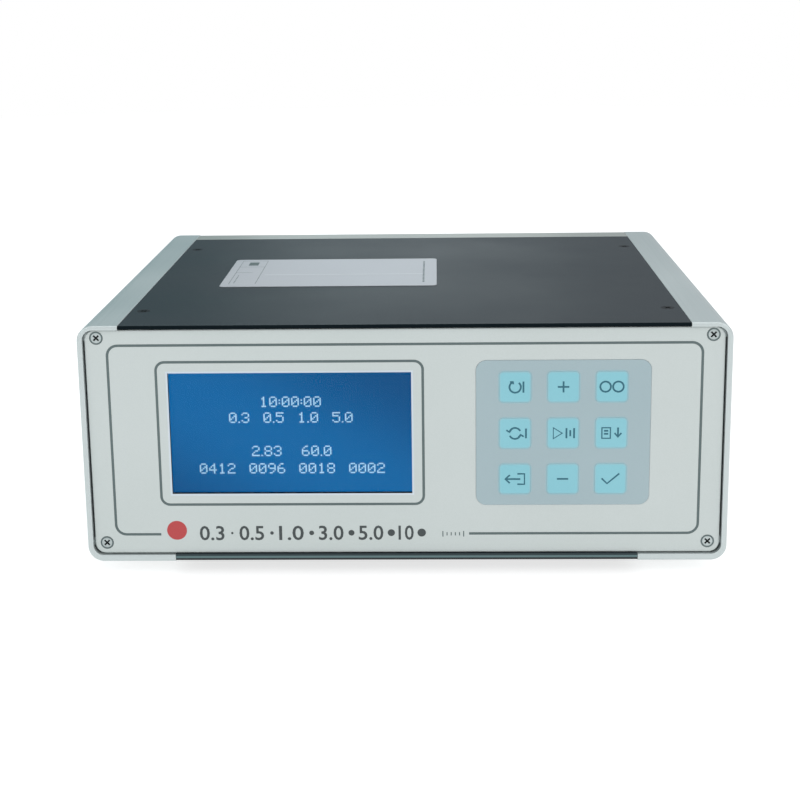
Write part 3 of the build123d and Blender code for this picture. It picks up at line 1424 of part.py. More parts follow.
# ---------------------------------------------------------------- labels and lines
def top_label():
    """Bare adhesive label on the top cover."""
    outline = RectangleRounded(LABEL_WIDTH, LABEL_DEPTH, LABEL_CORNER)
    label = along_z(outline, CASE_HEIGHT, CASE_HEIGHT + LABEL_THICKNESS)
    return Pos(LABEL_X, CASE_DEPTH - LABEL_REAR, 0) * label


def border_inlay():
    """Paint that fills the panel's two engraved lines."""
    return [along_y(line, PANEL_FACE, PANEL_FACE + LINE_DEPTH) for line in border_lines()]


# ---------------------------------------------------------------- all the pieces
def pieces():
    """Every node's name and its solid, or its list of separate solids."""
    made = {
        "left_side_rail": side_rail(-1),
        "right_side_rail": side_rail(1),
        "top_cover": top_cover(),
        "bottom_cover": bottom_cover(),
        "front_panel": front_panel(),
        "rear_panel": rear_panel(),
        "front_panel_screws": front_panel_screws(),
        "rear_panel_screws": rear_panel_screws(),
        "cover_screws": cover_screws(),
        "rear_device_screws": rear_device_screws(),
        "rubber_feet": rubber_feet(),
        "foot_screws": foot_screws(),
        "top_label": top_label(),
        "border_inlay": border_inlay(),
        "keypad_overlay": keypad_overlay(),
        "keypad_circuit": keypad_circuit(),
        "display_window": display_window(),
        "display_frame": display_frame(),
        "display_glass": display_glass(),
        "display_backlight": display_backlight(),
        "display_board": display_board(),
        "display_ribbon": display_ribbon(),
        "main_board": board(MAIN_BOARD_X, MAIN_BOARD_Y, MAIN_BOARD_WIDTH, MAIN_BOARD_DEPTH),
        "main_board_parts": main_board_parts(),
        "power_board": board(POWER_BOARD_X, POWER_BOARD_Y, POWER_BOARD_WIDTH, POWER_BOARD_DEPTH),
        "power_board_parts": power_board_parts(),
        "floor_pillars": board_standoffs() + sensor_pillars(),
        "inlet_housing": inlet_housing(),
        "inlet_pins": inlet_pins(),
        "fuse_drawer": fuse_drawer(),
        "fuse": fuse(),
        "power_rocker": power_rocker(),
        "fan_frame": fan_frame(),
        "fan_rotor": fan_rotor(),
        "serial_port": serial_port(),
        "sample_inlet": hose_fitting(SAMPLE_X, FLOW_Z),
        "exhaust_outlet": hose_fitting(BLOWER_X, EXHAUST_Z),
        "sample_tube": sample_tube(),
        "filter_tubes": [filter_tube(), blower_tube()],
        "exhaust_tube": exhaust_tube(),
        "filter_capsule": filter_capsule(),
        "sensor_block": sensor_block(),
        "laser_module": laser_module(),
        "light_trap": light_trap(),
        "detector_housing": detector_housing(),
        "blower_housing": blower_housing(),
        "blower_inlet_plate": blower_inlet_plate(),
        "blower_impeller": blower_impeller(),
        "blower_shaft": blower_shaft(),
        "blower_motor": blower_motor(),
        "floor_brackets": [filter_cradle(), blower_bracket()],
    }
    for name, (x, z) in key_places().items():
        made[name] = key(x, z)
    return made


os.makedirs("parts", exist_ok=True)
for name, piece in pieces().items():
    solids = piece if isinstance(piece, list) else [piece]
    placed = [CASE_TO_PART * solid for solid in solids]
    shape = Compound(children=placed) if len(placed) > 1 else placed[0]
    export_step(shape, f"parts/{name}.step")
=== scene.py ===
# %% Load the part, and keep the size of its box
import json
import math

import bpy
from mathutils import Matrix, Vector


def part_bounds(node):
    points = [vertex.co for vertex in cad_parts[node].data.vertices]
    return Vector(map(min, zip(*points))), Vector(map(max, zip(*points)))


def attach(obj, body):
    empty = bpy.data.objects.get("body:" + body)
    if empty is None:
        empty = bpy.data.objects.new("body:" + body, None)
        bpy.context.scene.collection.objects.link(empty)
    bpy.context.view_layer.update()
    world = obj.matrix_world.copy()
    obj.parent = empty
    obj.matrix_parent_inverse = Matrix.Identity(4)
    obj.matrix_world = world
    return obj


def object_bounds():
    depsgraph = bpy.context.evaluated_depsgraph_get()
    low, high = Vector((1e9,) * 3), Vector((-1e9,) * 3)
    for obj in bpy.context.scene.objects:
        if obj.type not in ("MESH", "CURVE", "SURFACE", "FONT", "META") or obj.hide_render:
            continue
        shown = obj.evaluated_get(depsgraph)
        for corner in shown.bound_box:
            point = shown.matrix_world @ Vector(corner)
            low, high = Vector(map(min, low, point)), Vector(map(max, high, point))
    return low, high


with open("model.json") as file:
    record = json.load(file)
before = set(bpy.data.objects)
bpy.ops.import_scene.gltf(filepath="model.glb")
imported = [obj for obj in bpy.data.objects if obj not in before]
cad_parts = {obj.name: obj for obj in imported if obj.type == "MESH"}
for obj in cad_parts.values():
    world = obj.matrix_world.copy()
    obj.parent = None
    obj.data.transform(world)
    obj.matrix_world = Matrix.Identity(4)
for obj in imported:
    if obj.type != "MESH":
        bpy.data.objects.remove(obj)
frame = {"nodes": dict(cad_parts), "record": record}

part_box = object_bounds()
nodes = frame["nodes"]
MM = 0.001

# %% [markdown]
# # A bench-top particle counter
# The instrument is a wide aluminium case with a light front panel, a blue graphic display,
# nine cyan keys and a black textured cover. Its pieces come in at their real size, in metres,
# and stay where they are. These cells add the camera, the light, the finish of each surface,
# and the thin things that a maker prints: lines of figures, key symbols and marks.
#
# ## The camera
# An instrument is usually pictured from a little above its top, square to its front, through a
# long lens. The lens could also be shifted a lot, so that upright edges stay upright, but a
# strong shift pushes the object out of the frame when the camera goes round it. A small shift
# with a small downward tilt gives nearly the same picture, and that is used here.

# %% Camera
CAMERA_FROM_FRONT = Vector((19.4, -796.3, 330.4)) * MM   # from the middle of the case's lower front edge
CAMERA_TURN = (78.37, 0.70, 1.35)                        # degrees about X, Y and Z
CAMERA_LENS = 65.66
CAMERA_SHIFT = -0.15

case_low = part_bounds("left_side_rail")[0]
front_middle = Vector((0, case_low.y, case_low.z))

camera = bpy.data.objects.new("camera", bpy.data.cameras.new("camera"))
camera.data.lens = CAMERA_LENS
camera.data.shift_y = CAMERA_SHIFT
camera.location = front_middle + CAMERA_FROM_FRONT
camera.rotation_euler = [math.radians(turn) for turn in CAMERA_TURN]
bpy.context.scene.collection.objects.link(camera)
bpy.context.scene.camera = camera
print("camera at", tuple(round(v, 3) for v in camera.location))

# %% [markdown]
# ## Tools for node trees
# Each finish is a small tree of shader nodes. The same three or four lines would come back in
# every material, so two helpers take them: one adds a node and joins its inputs, and one turns
# a paint chip's 0 to 255 values into the linear colour that the renderer works in.

# %% Node helpers
def add(tree, kind, feeds=None, **settings):
    """A new node. feeds gives inputs by name or number, each a plain value or another node's output."""
    node = tree.nodes.new(kind)
    for name, value in settings.items():
        setattr(node, name, value)
    for name, value in (feeds or {}).items():
        socket = node.inputs[name]
        if isinstance(value, bpy.types.NodeSocket):
            tree.links.new(value, socket)
        else:
            socket.default_value = value
    return node


def chip(red, green, blue):
    """A colour chip's 0 to 255 values as a linear colour."""
    def linear(value):
        value /= 255
        return value / 12.92 if value <= 0.04045 else ((value + 0.055) / 1.055) ** 2.4
    return linear(red), linear(green), linear(blue), 1.0


def blend_colours(tree, share, first, second):
    """Mixes two colours by a share, which changes over the surface."""
    mix = add(tree, "ShaderNodeMix", {0: share, 6: first, 7: second}, data_type="RGBA")
    return mix.outputs[2]


def new_effect(title, inputs, outputs):
    """An empty node group with named number inputs, and outputs of the given kinds."""
    group = bpy.data.node_groups.new(title, "ShaderNodeTree")
    for name, value in inputs.items():
        socket = group.interface.new_socket(name, in_out="INPUT", socket_type="NodeSocketFloat")
        socket.default_value = value
    for name, kind in outputs.items():
        group.interface.new_socket(name, in_out="OUTPUT", socket_type=kind)
    return group, group.nodes.new("NodeGroupInput").outputs, group.nodes.new("NodeGroupOutput").inputs


# %% [markdown]
# ## Light and floor
# Product pictures on white use a bright room and a few big soft lamps. One lamp gives hard
# shadows, and a captured room would need an image file. Here the room is white where the camera
# looks straight at it, and dimmer where it only lights the object: a little cooler on the left,
# and darkest at the back left, so that satin metal and black paint have something to reflect. A
# soft box low at the back then draws a sheen across the middle of the cover. The floor is a wide
# pale disc, so that it has no edge in any view, and it glows, as a lit table does, which keeps
# its shadows pale.

# %% World and lamps
ROOM_LEFT = (0.74, 0.78, 0.79, 1.0)
ROOM_RIGHT = (0.88, 0.88, 0.89, 1.0)
BACK_LEFT = (0.08, 0.22, 0.25, 1.0)
BACK_RIGHT = (0.42, 0.46, 0.49, 1.0)
LAMPS = (
    # name, size in metres, power in watts, place, colour
    ("roof", 1.4, 7.0, (0.0, 0.3, 1.5), (1.0, 1.0, 1.0)),
    ("key", 1.0, 6.0, (1.1, -1.1, 1.1), (1.0, 0.99, 0.97)),
    ("fill", 1.2, 5.5, (-1.3, -1.0, 0.9), (0.95, 0.98, 1.0)),
    ("back", 0.6, 1.3, (-0.06, 2.0, 0.40), (0.90, 0.97, 1.0)),
)

world = bpy.context.scene.world or bpy.data.worlds.new("studio")
bpy.context.scene.world = world
world.use_nodes = True
bpy.context.scene.view_settings.view_transform = "Standard"

room = world.node_tree
towards = add(room, "ShaderNodeSeparateXYZ", {0: add(room, "ShaderNodeTexCoord").outputs["Generated"]})
feeds = {"Value": towards.outputs["X"], "From Min": -0.8, "From Max": 0.8}
side = add(room, "ShaderNodeMapRange", feeds, interpolation_type="SMOOTHSTEP").outputs[0]
feeds = {"Value": towards.outputs["Y"], "From Min": 0.3, "From Max": 0.95}
back = add(room, "ShaderNodeMapRange", feeds, interpolation_type="SMOOTHSTEP").outputs[0]
feeds = {"Value": towards.outputs["X"], "From Min": -0.25, "From Max": 0.25}
back_side = add(room, "ShaderNodeMapRange", feeds, interpolation_type="SMOOTHSTEP").outputs[0]
front_light = blend_colours(room, side, ROOM_LEFT, ROOM_RIGHT)
back_light = blend_colours(room, back_side, BACK_LEFT, BACK_RIGHT)
light_colour = blend_colours(room, back, front_light, back_light)
seen = add(room, "ShaderNodeLightPath").outputs["Is Camera Ray"]
background = room.nodes["Background"].inputs["Color"]
room.links.new(blend_colours(room, seen, light_colour, (1, 1, 1, 1)), background)

aim = (part_box[0] + part_box[1]) / 2
for name, size, power, place, colour in LAMPS:
    lamp = bpy.data.objects.new(name, bpy.data.lights.new(name, "AREA"))
    lamp.data.size = size
    lamp.data.energy = power
    lamp.data.color = colour
    lamp.location = place
    lamp.rotation_euler = (aim - Vector(place)).to_track_quat("-Z", "Y").to_euler()
    lamp.visible_camera = False
    bpy.context.scene.collection.objects.link(lamp)
print("lamps:", len(LAMPS))

# %% Floor
FLOOR_RADIUS = 3.0
FLOOR_SIDES = 96
FLOOR_GLOW = 0.72

turns = [2 * math.pi * corner / FLOOR_SIDES for corner in range(FLOOR_SIDES)]
rim = [(FLOOR_RADIUS * math.cos(turn), FLOOR_RADIUS * math.sin(turn), 0) for turn in turns]
floor_mesh = bpy.data.meshes.new("floor")
floor_mesh.from_pydata(rim, [], [list(range(FLOOR_SIDES))])
floor = bpy.data.objects.new("floor", floor_mesh)
bpy.context.scene.collection.objects.link(floor)
print("floor radius:", FLOOR_RADIUS, "m")

# %% [markdown]
# ## Effect: softened edges
# No sheet or extrusion ends in a perfectly sharp edge. The edges could be bevelled in the mesh,
# but the pieces' shapes are fixed, and thousands of small faces would be needed. A Bevel node
# rounds only the way light leaves the surface. Where its normal turns away from the true one,
# there is an edge, and that difference is also a mask for edges polished by hands.

# %% Group: softened edges
def softened_edges():
    group, given, made = new_effect(
        "softened edges", {"Radius": 0.0004}, {"Edge": "NodeSocketFloat", "Normal": "NodeSocketVector"}
    )
    bevel = add(group, "ShaderNodeBevel", {"Radius": given["Radius"]}, samples=6)
    surface = add(group, "ShaderNodeNewGeometry")
    feeds = {0: bevel.outputs["Normal"], 1: surface.outputs["Normal"]}
    match = add(group, "ShaderNodeVectorMath", feeds, operation="DOT_PRODUCT")
    feeds = {"Value": match.outputs["Value"], "From Min": 1.0, "From Max": 0.86}
    edge = add(group, "ShaderNodeMapRange", feeds)
    group.links.new(edge.outputs["Result"], made["Edge"])
    group.links.new(bevel.outputs["Normal"], made["Normal"])
    return group


EDGES = softened_edges()
print("effect:", EDGES.name)

# %% [markdown]
# ## Effect: powder texture
# The cover's black paint is baked powder, which dries in fine pebbles. An image of pebbles would
# repeat and can't be measured. Noise of the real pebble size, a fraction of a millimetre, gives
# the bump, and a much larger and softer noise gives the slow change of tone across a sheet.

# %% Group: powder texture
def powder_texture():
    outputs = {"Grain": "NodeSocketFloat", "Cloud": "NodeSocketFloat"}
    group, given, made = new_effect("powder texture", {"Pebbles per metre": 900.0}, outputs)
    place = add(group, "ShaderNodeTexCoord").outputs["Object"]
    feeds = {"Vector": place, "Scale": given["Pebbles per metre"], "Detail": 2.0, "Roughness": 0.6}
    pebbles = add(group, "ShaderNodeTexNoise", feeds)
    clouds = add(group, "ShaderNodeTexNoise", {"Vector": place, "Scale": 9.0, "Detail": 3.0})
    group.links.new(pebbles.outputs[0], made["Grain"])
    group.links.new(clouds.outputs[0], made["Cloud"])
    return group


POWDER = powder_texture()
print("effect:", POWDER.name)

# %% [markdown]
# ## Effect: drawn lines
# Extruded and brushed metal has faint lines along the way it was drawn. They could be modelled as
# scratches one by one. It is far simpler to stretch a noise: its cells are made long in one
# direction and very thin in the other two, and what is left looks like drawn lines.

# %% Group: drawn lines
def drawn_lines(title, stretch):
    """stretch gives the cells per metre along X, Y and Z."""
    outputs = {"Line": "NodeSocketFloat", "Cloud": "NodeSocketFloat"}
    group, given, made = new_effect(title, {"Detail": 2.0}, outputs)
    place = add(group, "ShaderNodeTexCoord").outputs["Object"]
    feeds = {0: place, 1: stretch}
    stretched = add(group, "ShaderNodeVectorMath", feeds, operation="MULTIPLY").outputs["Vector"]
    feeds = {"Vector": stretched, "Scale": 1.0, "Detail": given["Detail"]}
    lines = add(group, "ShaderNodeTexNoise", feeds)
    clouds = add(group, "ShaderNodeTexNoise", {"Vector": place, "Scale": 6.0, "Detail": 2.0})
    group.links.new(lines.outputs[0], made["Line"])
    group.links.new(clouds.outputs[0], made["Cloud"])
    return group


LINES_BACK = drawn_lines("lines along the case", (2500.0, 12.0, 2500.0))
LINES_ACROSS = drawn_lines("lines across the panel", (12.0, 2500.0, 2500.0))
print("effects:", LINES_BACK.name, "and", LINES_ACROSS.name)

# %% [markdown]
# ## The finishes
# A finish here is a pale and a deep version of one colour, mixed by one of the effects, a range of
# roughness moved by the slow cloud, and a bump whose height is the effect's real depth. One
# function builds them all, so two finishes differ only in their numbers, as two paint orders do.

# %% One function for the opaque finishes
def finish(name, pale, deep, effect, shares, rough, depth, metallic=0.0, edge=None, coat=0.0, gloss=0.5):
    """An opaque finish. shares names the effect's fine and slow outputs, depth is the bump in metres."""
    material = bpy.data.materials.new(name)
    material.use_nodes = True
    tree = material.node_tree
    shader = tree.nodes["Principled BSDF"]
    fine_name, slow_name = shares
    texture = add(tree, "ShaderNodeGroup", node_tree=effect)
    fine = texture.outputs[fine_name]
    slow = texture.outputs[slow_name]
    feeds = {0: fine, 1: slow}
    both = add(tree, "ShaderNodeMath", feeds, operation="ADD").outputs[0]
    share = add(tree, "ShaderNodeMapRange", {"Value": both, "From Min": 0.7, "From Max": 1.3}).outputs[0]
    colour = blend_colours(tree, share, deep, pale)
    feeds = {"Value": slow, "From Min": 0.3, "From Max": 0.7, "To Min": rough[0], "To Max": rough[1]}
    roughness = add(tree, "ShaderNodeMapRange", feeds).outputs[0]
    bump = add(tree, "ShaderNodeBump", {"Height": fine, "Distance": depth, "Strength": 1.0})
    if edge:
        radius, worn = edge
        soft = add(tree, "ShaderNodeGroup", {"Radius": radius}, node_tree=EDGES)
        tree.links.new(soft.outputs["Normal"], bump.inputs["Normal"])
        colour = blend_colours(tree, soft.outputs["Edge"], colour, worn)
    tree.links.new(colour, shader.inputs["Base Color"])
    tree.links.new(roughness, shader.inputs["Roughness"])
    tree.links.new(bump.outputs["Normal"], shader.inputs["Normal"])
    shader.inputs["Metallic"].default_value = metallic
    shader.inputs["Coat Weight"].default_value = coat
    shader.inputs["Specular IOR Level"].default_value = gloss
    return material


def powder(name, pale, deep, rough, depth=0.00002, pebbles=900.0, **more):
    """Baked powder or moulded plastic, with its pebbles per metre."""
    material = finish(name, pale, deep, POWDER, ("Grain", "Cloud"), rough, depth, **more)
    for node in material.node_tree.nodes:
        if node.type == "GROUP" and node.node_tree == POWDER:
            node.inputs["Pebbles per metre"].default_value = pebbles
    return material


def drawn(name, pale, deep, rough, lines, depth=0.000004, **more):
    """Metal with the lines of its drawing or brushing."""
    return finish(name, pale, deep, lines, ("Line", "Cloud"), rough, depth, **more)


def painted_light_past(material, axis, start, end, shade, metallic_shade=False):
    """Blends a painted tone of light and shade into the colour, from start to end along an axis, in metres;
    metallic_shade also makes it metallic there, which takes the paint's shine off.
    """
    tree = material.node_tree
    shader = tree.nodes["Principled BSDF"]
    base = shader.inputs["Base Color"]
    place = add(tree, "ShaderNodeTexCoord").outputs["Object"]
    along = add(tree, "ShaderNodeSeparateXYZ", {0: place}).outputs[axis]
    past = add(tree, "ShaderNodeMapRange", {"Value": along, "From Min": start, "From Max": end}).outputs[0]
    tree.links.new(blend_colours(tree, past, base.links[0].from_socket, shade), base)
    if metallic_shade:
        tree.links.new(past, shader.inputs["Metallic"])
    return material


# %% [markdown]
# ## The case
# The rails are extruded and anodised in a satin silver with a cold tint. The front panel is a
# flatter, paler grey, screen-printed, and the rear panel is plated sheet. Anodised metal could be
# a pure metal in the shader, but its oxide layer scatters light, so half of it stays dull. The top
# cover's front edge has painted shade: it is turned nearly black and metallic, so it has no shine.
# The base's front edge is taken as rolled, and a pale band across it is a painted highlight.

# %% Finishes of the case
rail_metal = drawn(
    "rail anodised", chip(191, 199, 199), chip(181, 190, 190), (0.34, 0.44), LINES_BACK,
    metallic=0.5, edge=(0.0004, chip(212, 218, 218)),
)
panel_paint = powder(
    "panel satin", chip(187, 194, 193), chip(181, 189, 187), (0.42, 0.5),
    depth=0.000004, pebbles=2200.0, edge=(0.0004, chip(210, 214, 213)),
)
rear_metal = drawn(
    "rear sheet", chip(166, 170, 165), chip(154, 158, 154), (0.35, 0.45), LINES_ACROSS,
    metallic=0.3, edge=(0.0004, chip(178, 182, 178)),
)
# Painted shade: within the front 0.7 mm the cover turns nearly black and metallic, so its front edge loses
# the paint's shine.
cover_paint = painted_light_past(
    powder(
        "cover powder", chip(32, 40, 46), chip(18, 24, 30), (0.44, 0.54),
        depth=0.00006, pebbles=1300.0, edge=(0.0003, chip(52, 58, 61)), gloss=0.4,
    ),
    "Y", case_low.y + 0.7 * MM, case_low.y + 0.4 * MM, chip(19, 27, 31), metallic_shade=True,
)
base_paint = powder("base powder", chip(16, 22, 25), chip(9, 13, 16), (0.44, 0.54), depth=0.00006, gloss=0.3)
# Painted highlight of a rolled edge: the base's front face turns pale teal from about 2 mm up and a little
# paler above 3.6 mm, and is dark again from 0.8 mm behind the front.
BASE_PAINTED_LIGHT = (
    # axis, where the band's colour starts and is full, in millimetres from the case's edge, colour
    ("Z", case_low.z, 1.7, 2.4, chip(88, 112, 114)),
    ("Z", case_low.z, 3.0, 3.6, chip(34, 48, 52)),
    ("Y", case_low.y, 0.4, 0.8, chip(24, 31, 36)),
)
for axis, edge, start, end, shade in BASE_PAINTED_LIGHT:
    painted_light_past(base_paint, axis, edge + start * MM, edge + end * MM, shade)
foot_rubber = powder("foot rubber", chip(44, 44, 45), chip(30, 30, 31), (0.7, 0.85), pebbles=1500.0)
print("finishes so far:", len(bpy.data.materials))

# %% [markdown]
# ## Screws, sockets and other metal
# Small fittings are too small for a viewer to see a texture on each, but close up a plain grey
# screw looks like plastic. They take the same drawn lines, with full metal and a lower roughness.

# %% Finishes of fittings
screw_steel = drawn(
    "screw steel", chip(190, 194, 194), chip(150, 155, 156), (0.22, 0.34), LINES_ACROSS,
    metallic=0.9, edge=(0.0002, chip(215, 218, 218)),
)
screw_black = powder(
    "screw black", chip(24, 27, 30), chip(14, 16, 19), (0.5, 0.6), pebbles=2500.0, gloss=0.25
)
# Painted shade: deeper than 0.05 mm behind the heads' face, in the cross recesses, the screws' colour turns
# nearly black.
screw_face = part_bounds("front_panel_screws")[0].y
panel_screw = painted_light_past(
    drawn(
        "panel screw", chip(190, 198, 198), chip(146, 156, 156), (0.26, 0.36), LINES_ACROSS,
        metallic=0.7,
    ),
    "Y", screw_face + 0.05 * MM, screw_face + 0.3 * MM, chip(22, 28, 29),
)
fitting_metal = drawn(
    "fitting steel", chip(196, 197, 195), chip(168, 170, 170), (0.2, 0.3), LINES_ACROSS,
    metallic=1.0, edge=(0.0002, chip(225, 226, 226)),
)
brass = drawn(
    "turned brass", chip(205, 176, 104), chip(178, 148, 80), (0.25, 0.35), LINES_ACROSS,
    metallic=1.0,
)
moulded_black = powder(
    "moulded black", chip(42, 43, 45), chip(30, 31, 33), (0.32, 0.42), depth=0.00001,
    pebbles=1800.0, edge=(0.0003, chip(66, 68, 70)),
)
moulded_grey = powder("moulded grey", chip(112, 117, 121), chip(92, 97, 101), (0.4, 0.5), pebbles=1500.0)
moulded_white = powder(
    "moulded white", chip(232, 234, 232), chip(218, 220, 218), (0.35, 0.45), pebbles=1500.0
)
board_green = powder(
    "board mask", chip(38, 104, 70), chip(24, 82, 54), (0.28, 0.36), pebbles=1200.0, coat=0.4
)
ribbon_grey = drawn("ribbon cable", chip(176, 178, 182), chip(120, 122, 128), (0.4, 0.5), LINES_BACK)
sheet_film = powder("contact film", chip(190, 186, 170), chip(176, 172, 156), (0.3, 0.4), pebbles=900.0)
backlight_white = powder(
    "light guide", chip(240, 244, 246), chip(228, 234, 238), (0.3, 0.4), pebbles=600.0
)
print("finishes so far:", len(bpy.data.materials))

# %% [markdown]
# ## Effect: key patches
# The keypad is one printed film. Its cyan squares are printed with soft edges, so the colour fades
# out over a millimetre or two, past the rim of each key. Two plain colours with a hard joint would
# show every key as a sharp tile. This effect measures how far a point lies from the nearest of the
# nine squares. Keys and film share it, so the fade runs across the joint.

# %% Group: key patches
KEY_CORNER = 0.0026
KEY_FADE = 0.0013


def key_patches():
    group, given, made = new_effect(
        "key patches", {"Corner": KEY_CORNER, "Fade": KEY_FADE}, {"Key": "NodeSocketFloat"}
    )

    def vector(kind, first, second=(0, 0, 0)):
        node = add(group, "ShaderNodeVectorMath", {0: first, 1: second}, operation=kind)
        return node.outputs["Value"] if kind == "LENGTH" else node.outputs["Vector"]

    low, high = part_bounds("key_middle_centre")
    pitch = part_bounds("key_middle_right")[0].x - low.x
    inner = (high.x - low.x) / 2 - KEY_CORNER
    place = add(group, "ShaderNodeTexCoord").outputs["Object"]
    cells = vector("MULTIPLY", vector("SUBTRACT", place, (low + high) / 2), (1 / pitch, 0, 1 / pitch))
    nearest = vector("FLOOR", vector("ADD", cells, (0.5, 0, 0.5)))
    nearest = vector("MAXIMUM", vector("MINIMUM", nearest, (1, 0, 1)), (-1, 0, -1))
    off = vector("ABSOLUTE", vector("SUBTRACT", cells, nearest))
    past = vector("SUBTRACT", vector("MULTIPLY", off, (pitch, 0, pitch)), (inner, 0, inner))
    past = vector("LENGTH", vector("MAXIMUM", past))
    feeds = {0: given["Corner"], 1: given["Fade"]}
    near = add(group, "ShaderNodeMath", feeds, operation="SUBTRACT").outputs[0]
    far = add(group, "ShaderNodeMath", feeds, operation="ADD").outputs[0]
    feeds = {"Value": past, "From Min": near, "From Max": far, "To Min": 1.0, "To Max": 0.0}
    fade = add(group, "ShaderNodeMapRange", feeds, interpolation_type="SMOOTHSTEP").outputs[0]
    group.links.new(fade, made["Key"])
    return group


KEYS = key_patches()
print("effect:", KEYS.name)

# %% [markdown]
# ## Films, inks and the label
# The keypad film has a fine matt grain, the same on its keys. Ink is thinner than the grain and
# only dulls it. The label is a silver film, smoother than the rest.

# %% Finishes of printed pieces
def keypad_print(name, field_pale, field_deep, key_pale, key_deep):
    """The printed film: a powder finish whose two colours turn to the key's inside each patch."""
    material = powder(name, field_pale, field_deep, (0.42, 0.52), depth=0.000006, pebbles=3000.0)
    tree = material.node_tree
    patch = add(tree, "ShaderNodeGroup", node_tree=KEYS).outputs["Key"]
    mix = next(node for node in tree.nodes if node.type == "MIX")
    tree.links.new(blend_colours(tree, patch, field_deep, key_deep), mix.inputs[6])
    tree.links.new(blend_colours(tree, patch, field_pale, key_pale), mix.inputs[7])
    return material


def ink(name, pale, deep, rough=(0.5, 0.6)):
    """A printed layer, with a grain finer than the film's."""
    return powder(name, pale, deep, rough, depth=0.000004, pebbles=3000.0)


FIELD = (chip(153, 171, 176), chip(145, 164, 170))
KEY = (chip(129, 186, 197), chip(118, 177, 190))
keypad_film = keypad_print("keypad film", *FIELD, *KEY)
key_film = keypad_print("key film", *FIELD, *KEY)
# The paler band on the label is a painted highlight of a crease, not a colour of the film.
crease_highlight_film = powder(
    "label crease highlight", chip(184, 188, 192), chip(176, 180, 185), (0.34, 0.46), depth=0.000004
)
label_film = powder(
    "label film", chip(170, 173, 178), chip(158, 161, 167), (0.34, 0.46), depth=0.000004,
    pebbles=2500.0, edge=(0.0003, chip(196, 200, 204)),
)
line_ink = ink("line ink", chip(88, 102, 102), chip(72, 86, 87))
figure_ink = ink("figure ink", chip(62, 69, 70), chip(48, 55, 56))
key_ink = ink("key ink", chip(36, 98, 114), chip(26, 84, 100))
edging_white = ink("edging white", chip(194, 204, 211), chip(188, 198, 206), (0.4, 0.5))
red_ink = ink("red ink", chip(178, 62, 62), chip(160, 50, 54), (0.45, 0.55))

# %% [markdown]
# ## The display
# A graphic display of this kind is a sheet of glass ruled into square dots, lit from behind. A
# plain blue emission would look like a sticker. The dots are made with a fine grid whose gaps are
# a little darker. The light is brightest along one diagonal and falls off slowly towards the other
# two corners, as a side-lit panel's does.

# %% Finish of the lit screen
SCREEN_DOTS_PER_METRE = 1700.0
SCREEN_GAP = 0.86
SCREEN_GAP_SHADE = 0.2
BRIGHTEST = 0.85           # along the diagonal, from 0 at the lower left to 2 at the upper right


def screen_glass(name, bright, dim, glow):
    """A lit face ruled into dots, from its bright and its dim colour."""
    material = bpy.data.materials.new(name)
    material.use_nodes = True
    tree = material.node_tree
    shader = tree.nodes["Principled BSDF"]
    place = add(tree, "ShaderNodeTexCoord").outputs["Object"]
    axes = add(tree, "ShaderNodeSeparateXYZ", {0: place}).outputs
    inside = []
    for axis in ("X", "Z"):
        feeds = {0: axes[axis], 1: SCREEN_DOTS_PER_METRE}
        cell = add(tree, "ShaderNodeMath", feeds, operation="MULTIPLY").outputs[0]
        across = add(tree, "ShaderNodeMath", {0: cell}, operation="FRACT").outputs[0]
        feeds = {0: across, 1: SCREEN_GAP}
        inside.append(add(tree, "ShaderNodeMath", feeds, operation="LESS_THAN").outputs[0])
    dot = add(tree, "ShaderNodeMath", {0: inside[0], 1: inside[1]}, operation="MULTIPLY").outputs[0]
    low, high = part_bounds("display_window")
    feeds = {"Value": axes["X"], "From Min": low.x, "From Max": high.x}
    right = add(tree, "ShaderNodeMapRange", feeds).outputs[0]
    feeds = {"Value": axes["Z"], "From Min": low.z, "From Max": high.z}
    upper = add(tree, "ShaderNodeMapRange", feeds).outputs[0]
    across = add(tree, "ShaderNodeMath", {0: right, 1: upper}, operation="ADD").outputs[0]
    off = add(tree, "ShaderNodeMath", {0: across, 1: -BRIGHTEST}, operation="ADD").outputs[0]
    off = add(tree, "ShaderNodeMath", {0: off}, operation="ABSOLUTE").outputs[0]
    feeds = {"Value": off, "From Min": 0.1, "From Max": 1.1}
    fall = add(tree, "ShaderNodeMapRange", feeds, interpolation_type="SMOOTHSTEP").outputs[0]
    tone = blend_colours(tree, fall, bright, dim)
    darker = blend_colours(tree, SCREEN_GAP_SHADE, tone, (0, 0, 0, 1))
    lit = blend_colours(tree, dot, darker, tone)
    tree.links.new(blend_colours(tree, 0.85, lit, (0, 0, 0, 1)), shader.inputs["Base Color"])
    tree.links.new(lit, shader.inputs["Emission Color"])
    shader.inputs["Emission Strength"].default_value = glow
    shader.inputs["Roughness"].default_value = 0.35
    shader.inputs["Specular IOR Level"].default_value = 0.0
    return material


screen_blue = screen_glass("screen lit", chip(12, 103, 167), chip(8, 78, 134), 0.88)
screen_figures = screen_glass("screen figures", chip(170, 214, 238), chip(148, 194, 220), 0.95)
print("finishes:", screen_blue.name, "and", screen_figures.name)

# %% [markdown]
# ## Clear pieces
# The window over the display, the glass of the fuse and the silicone tubes let light through.
# Transmission in the shader bends light as real glass does. The window gets a very faint dust,
# from the powder effect, so that its surface can be seen where light rakes it.

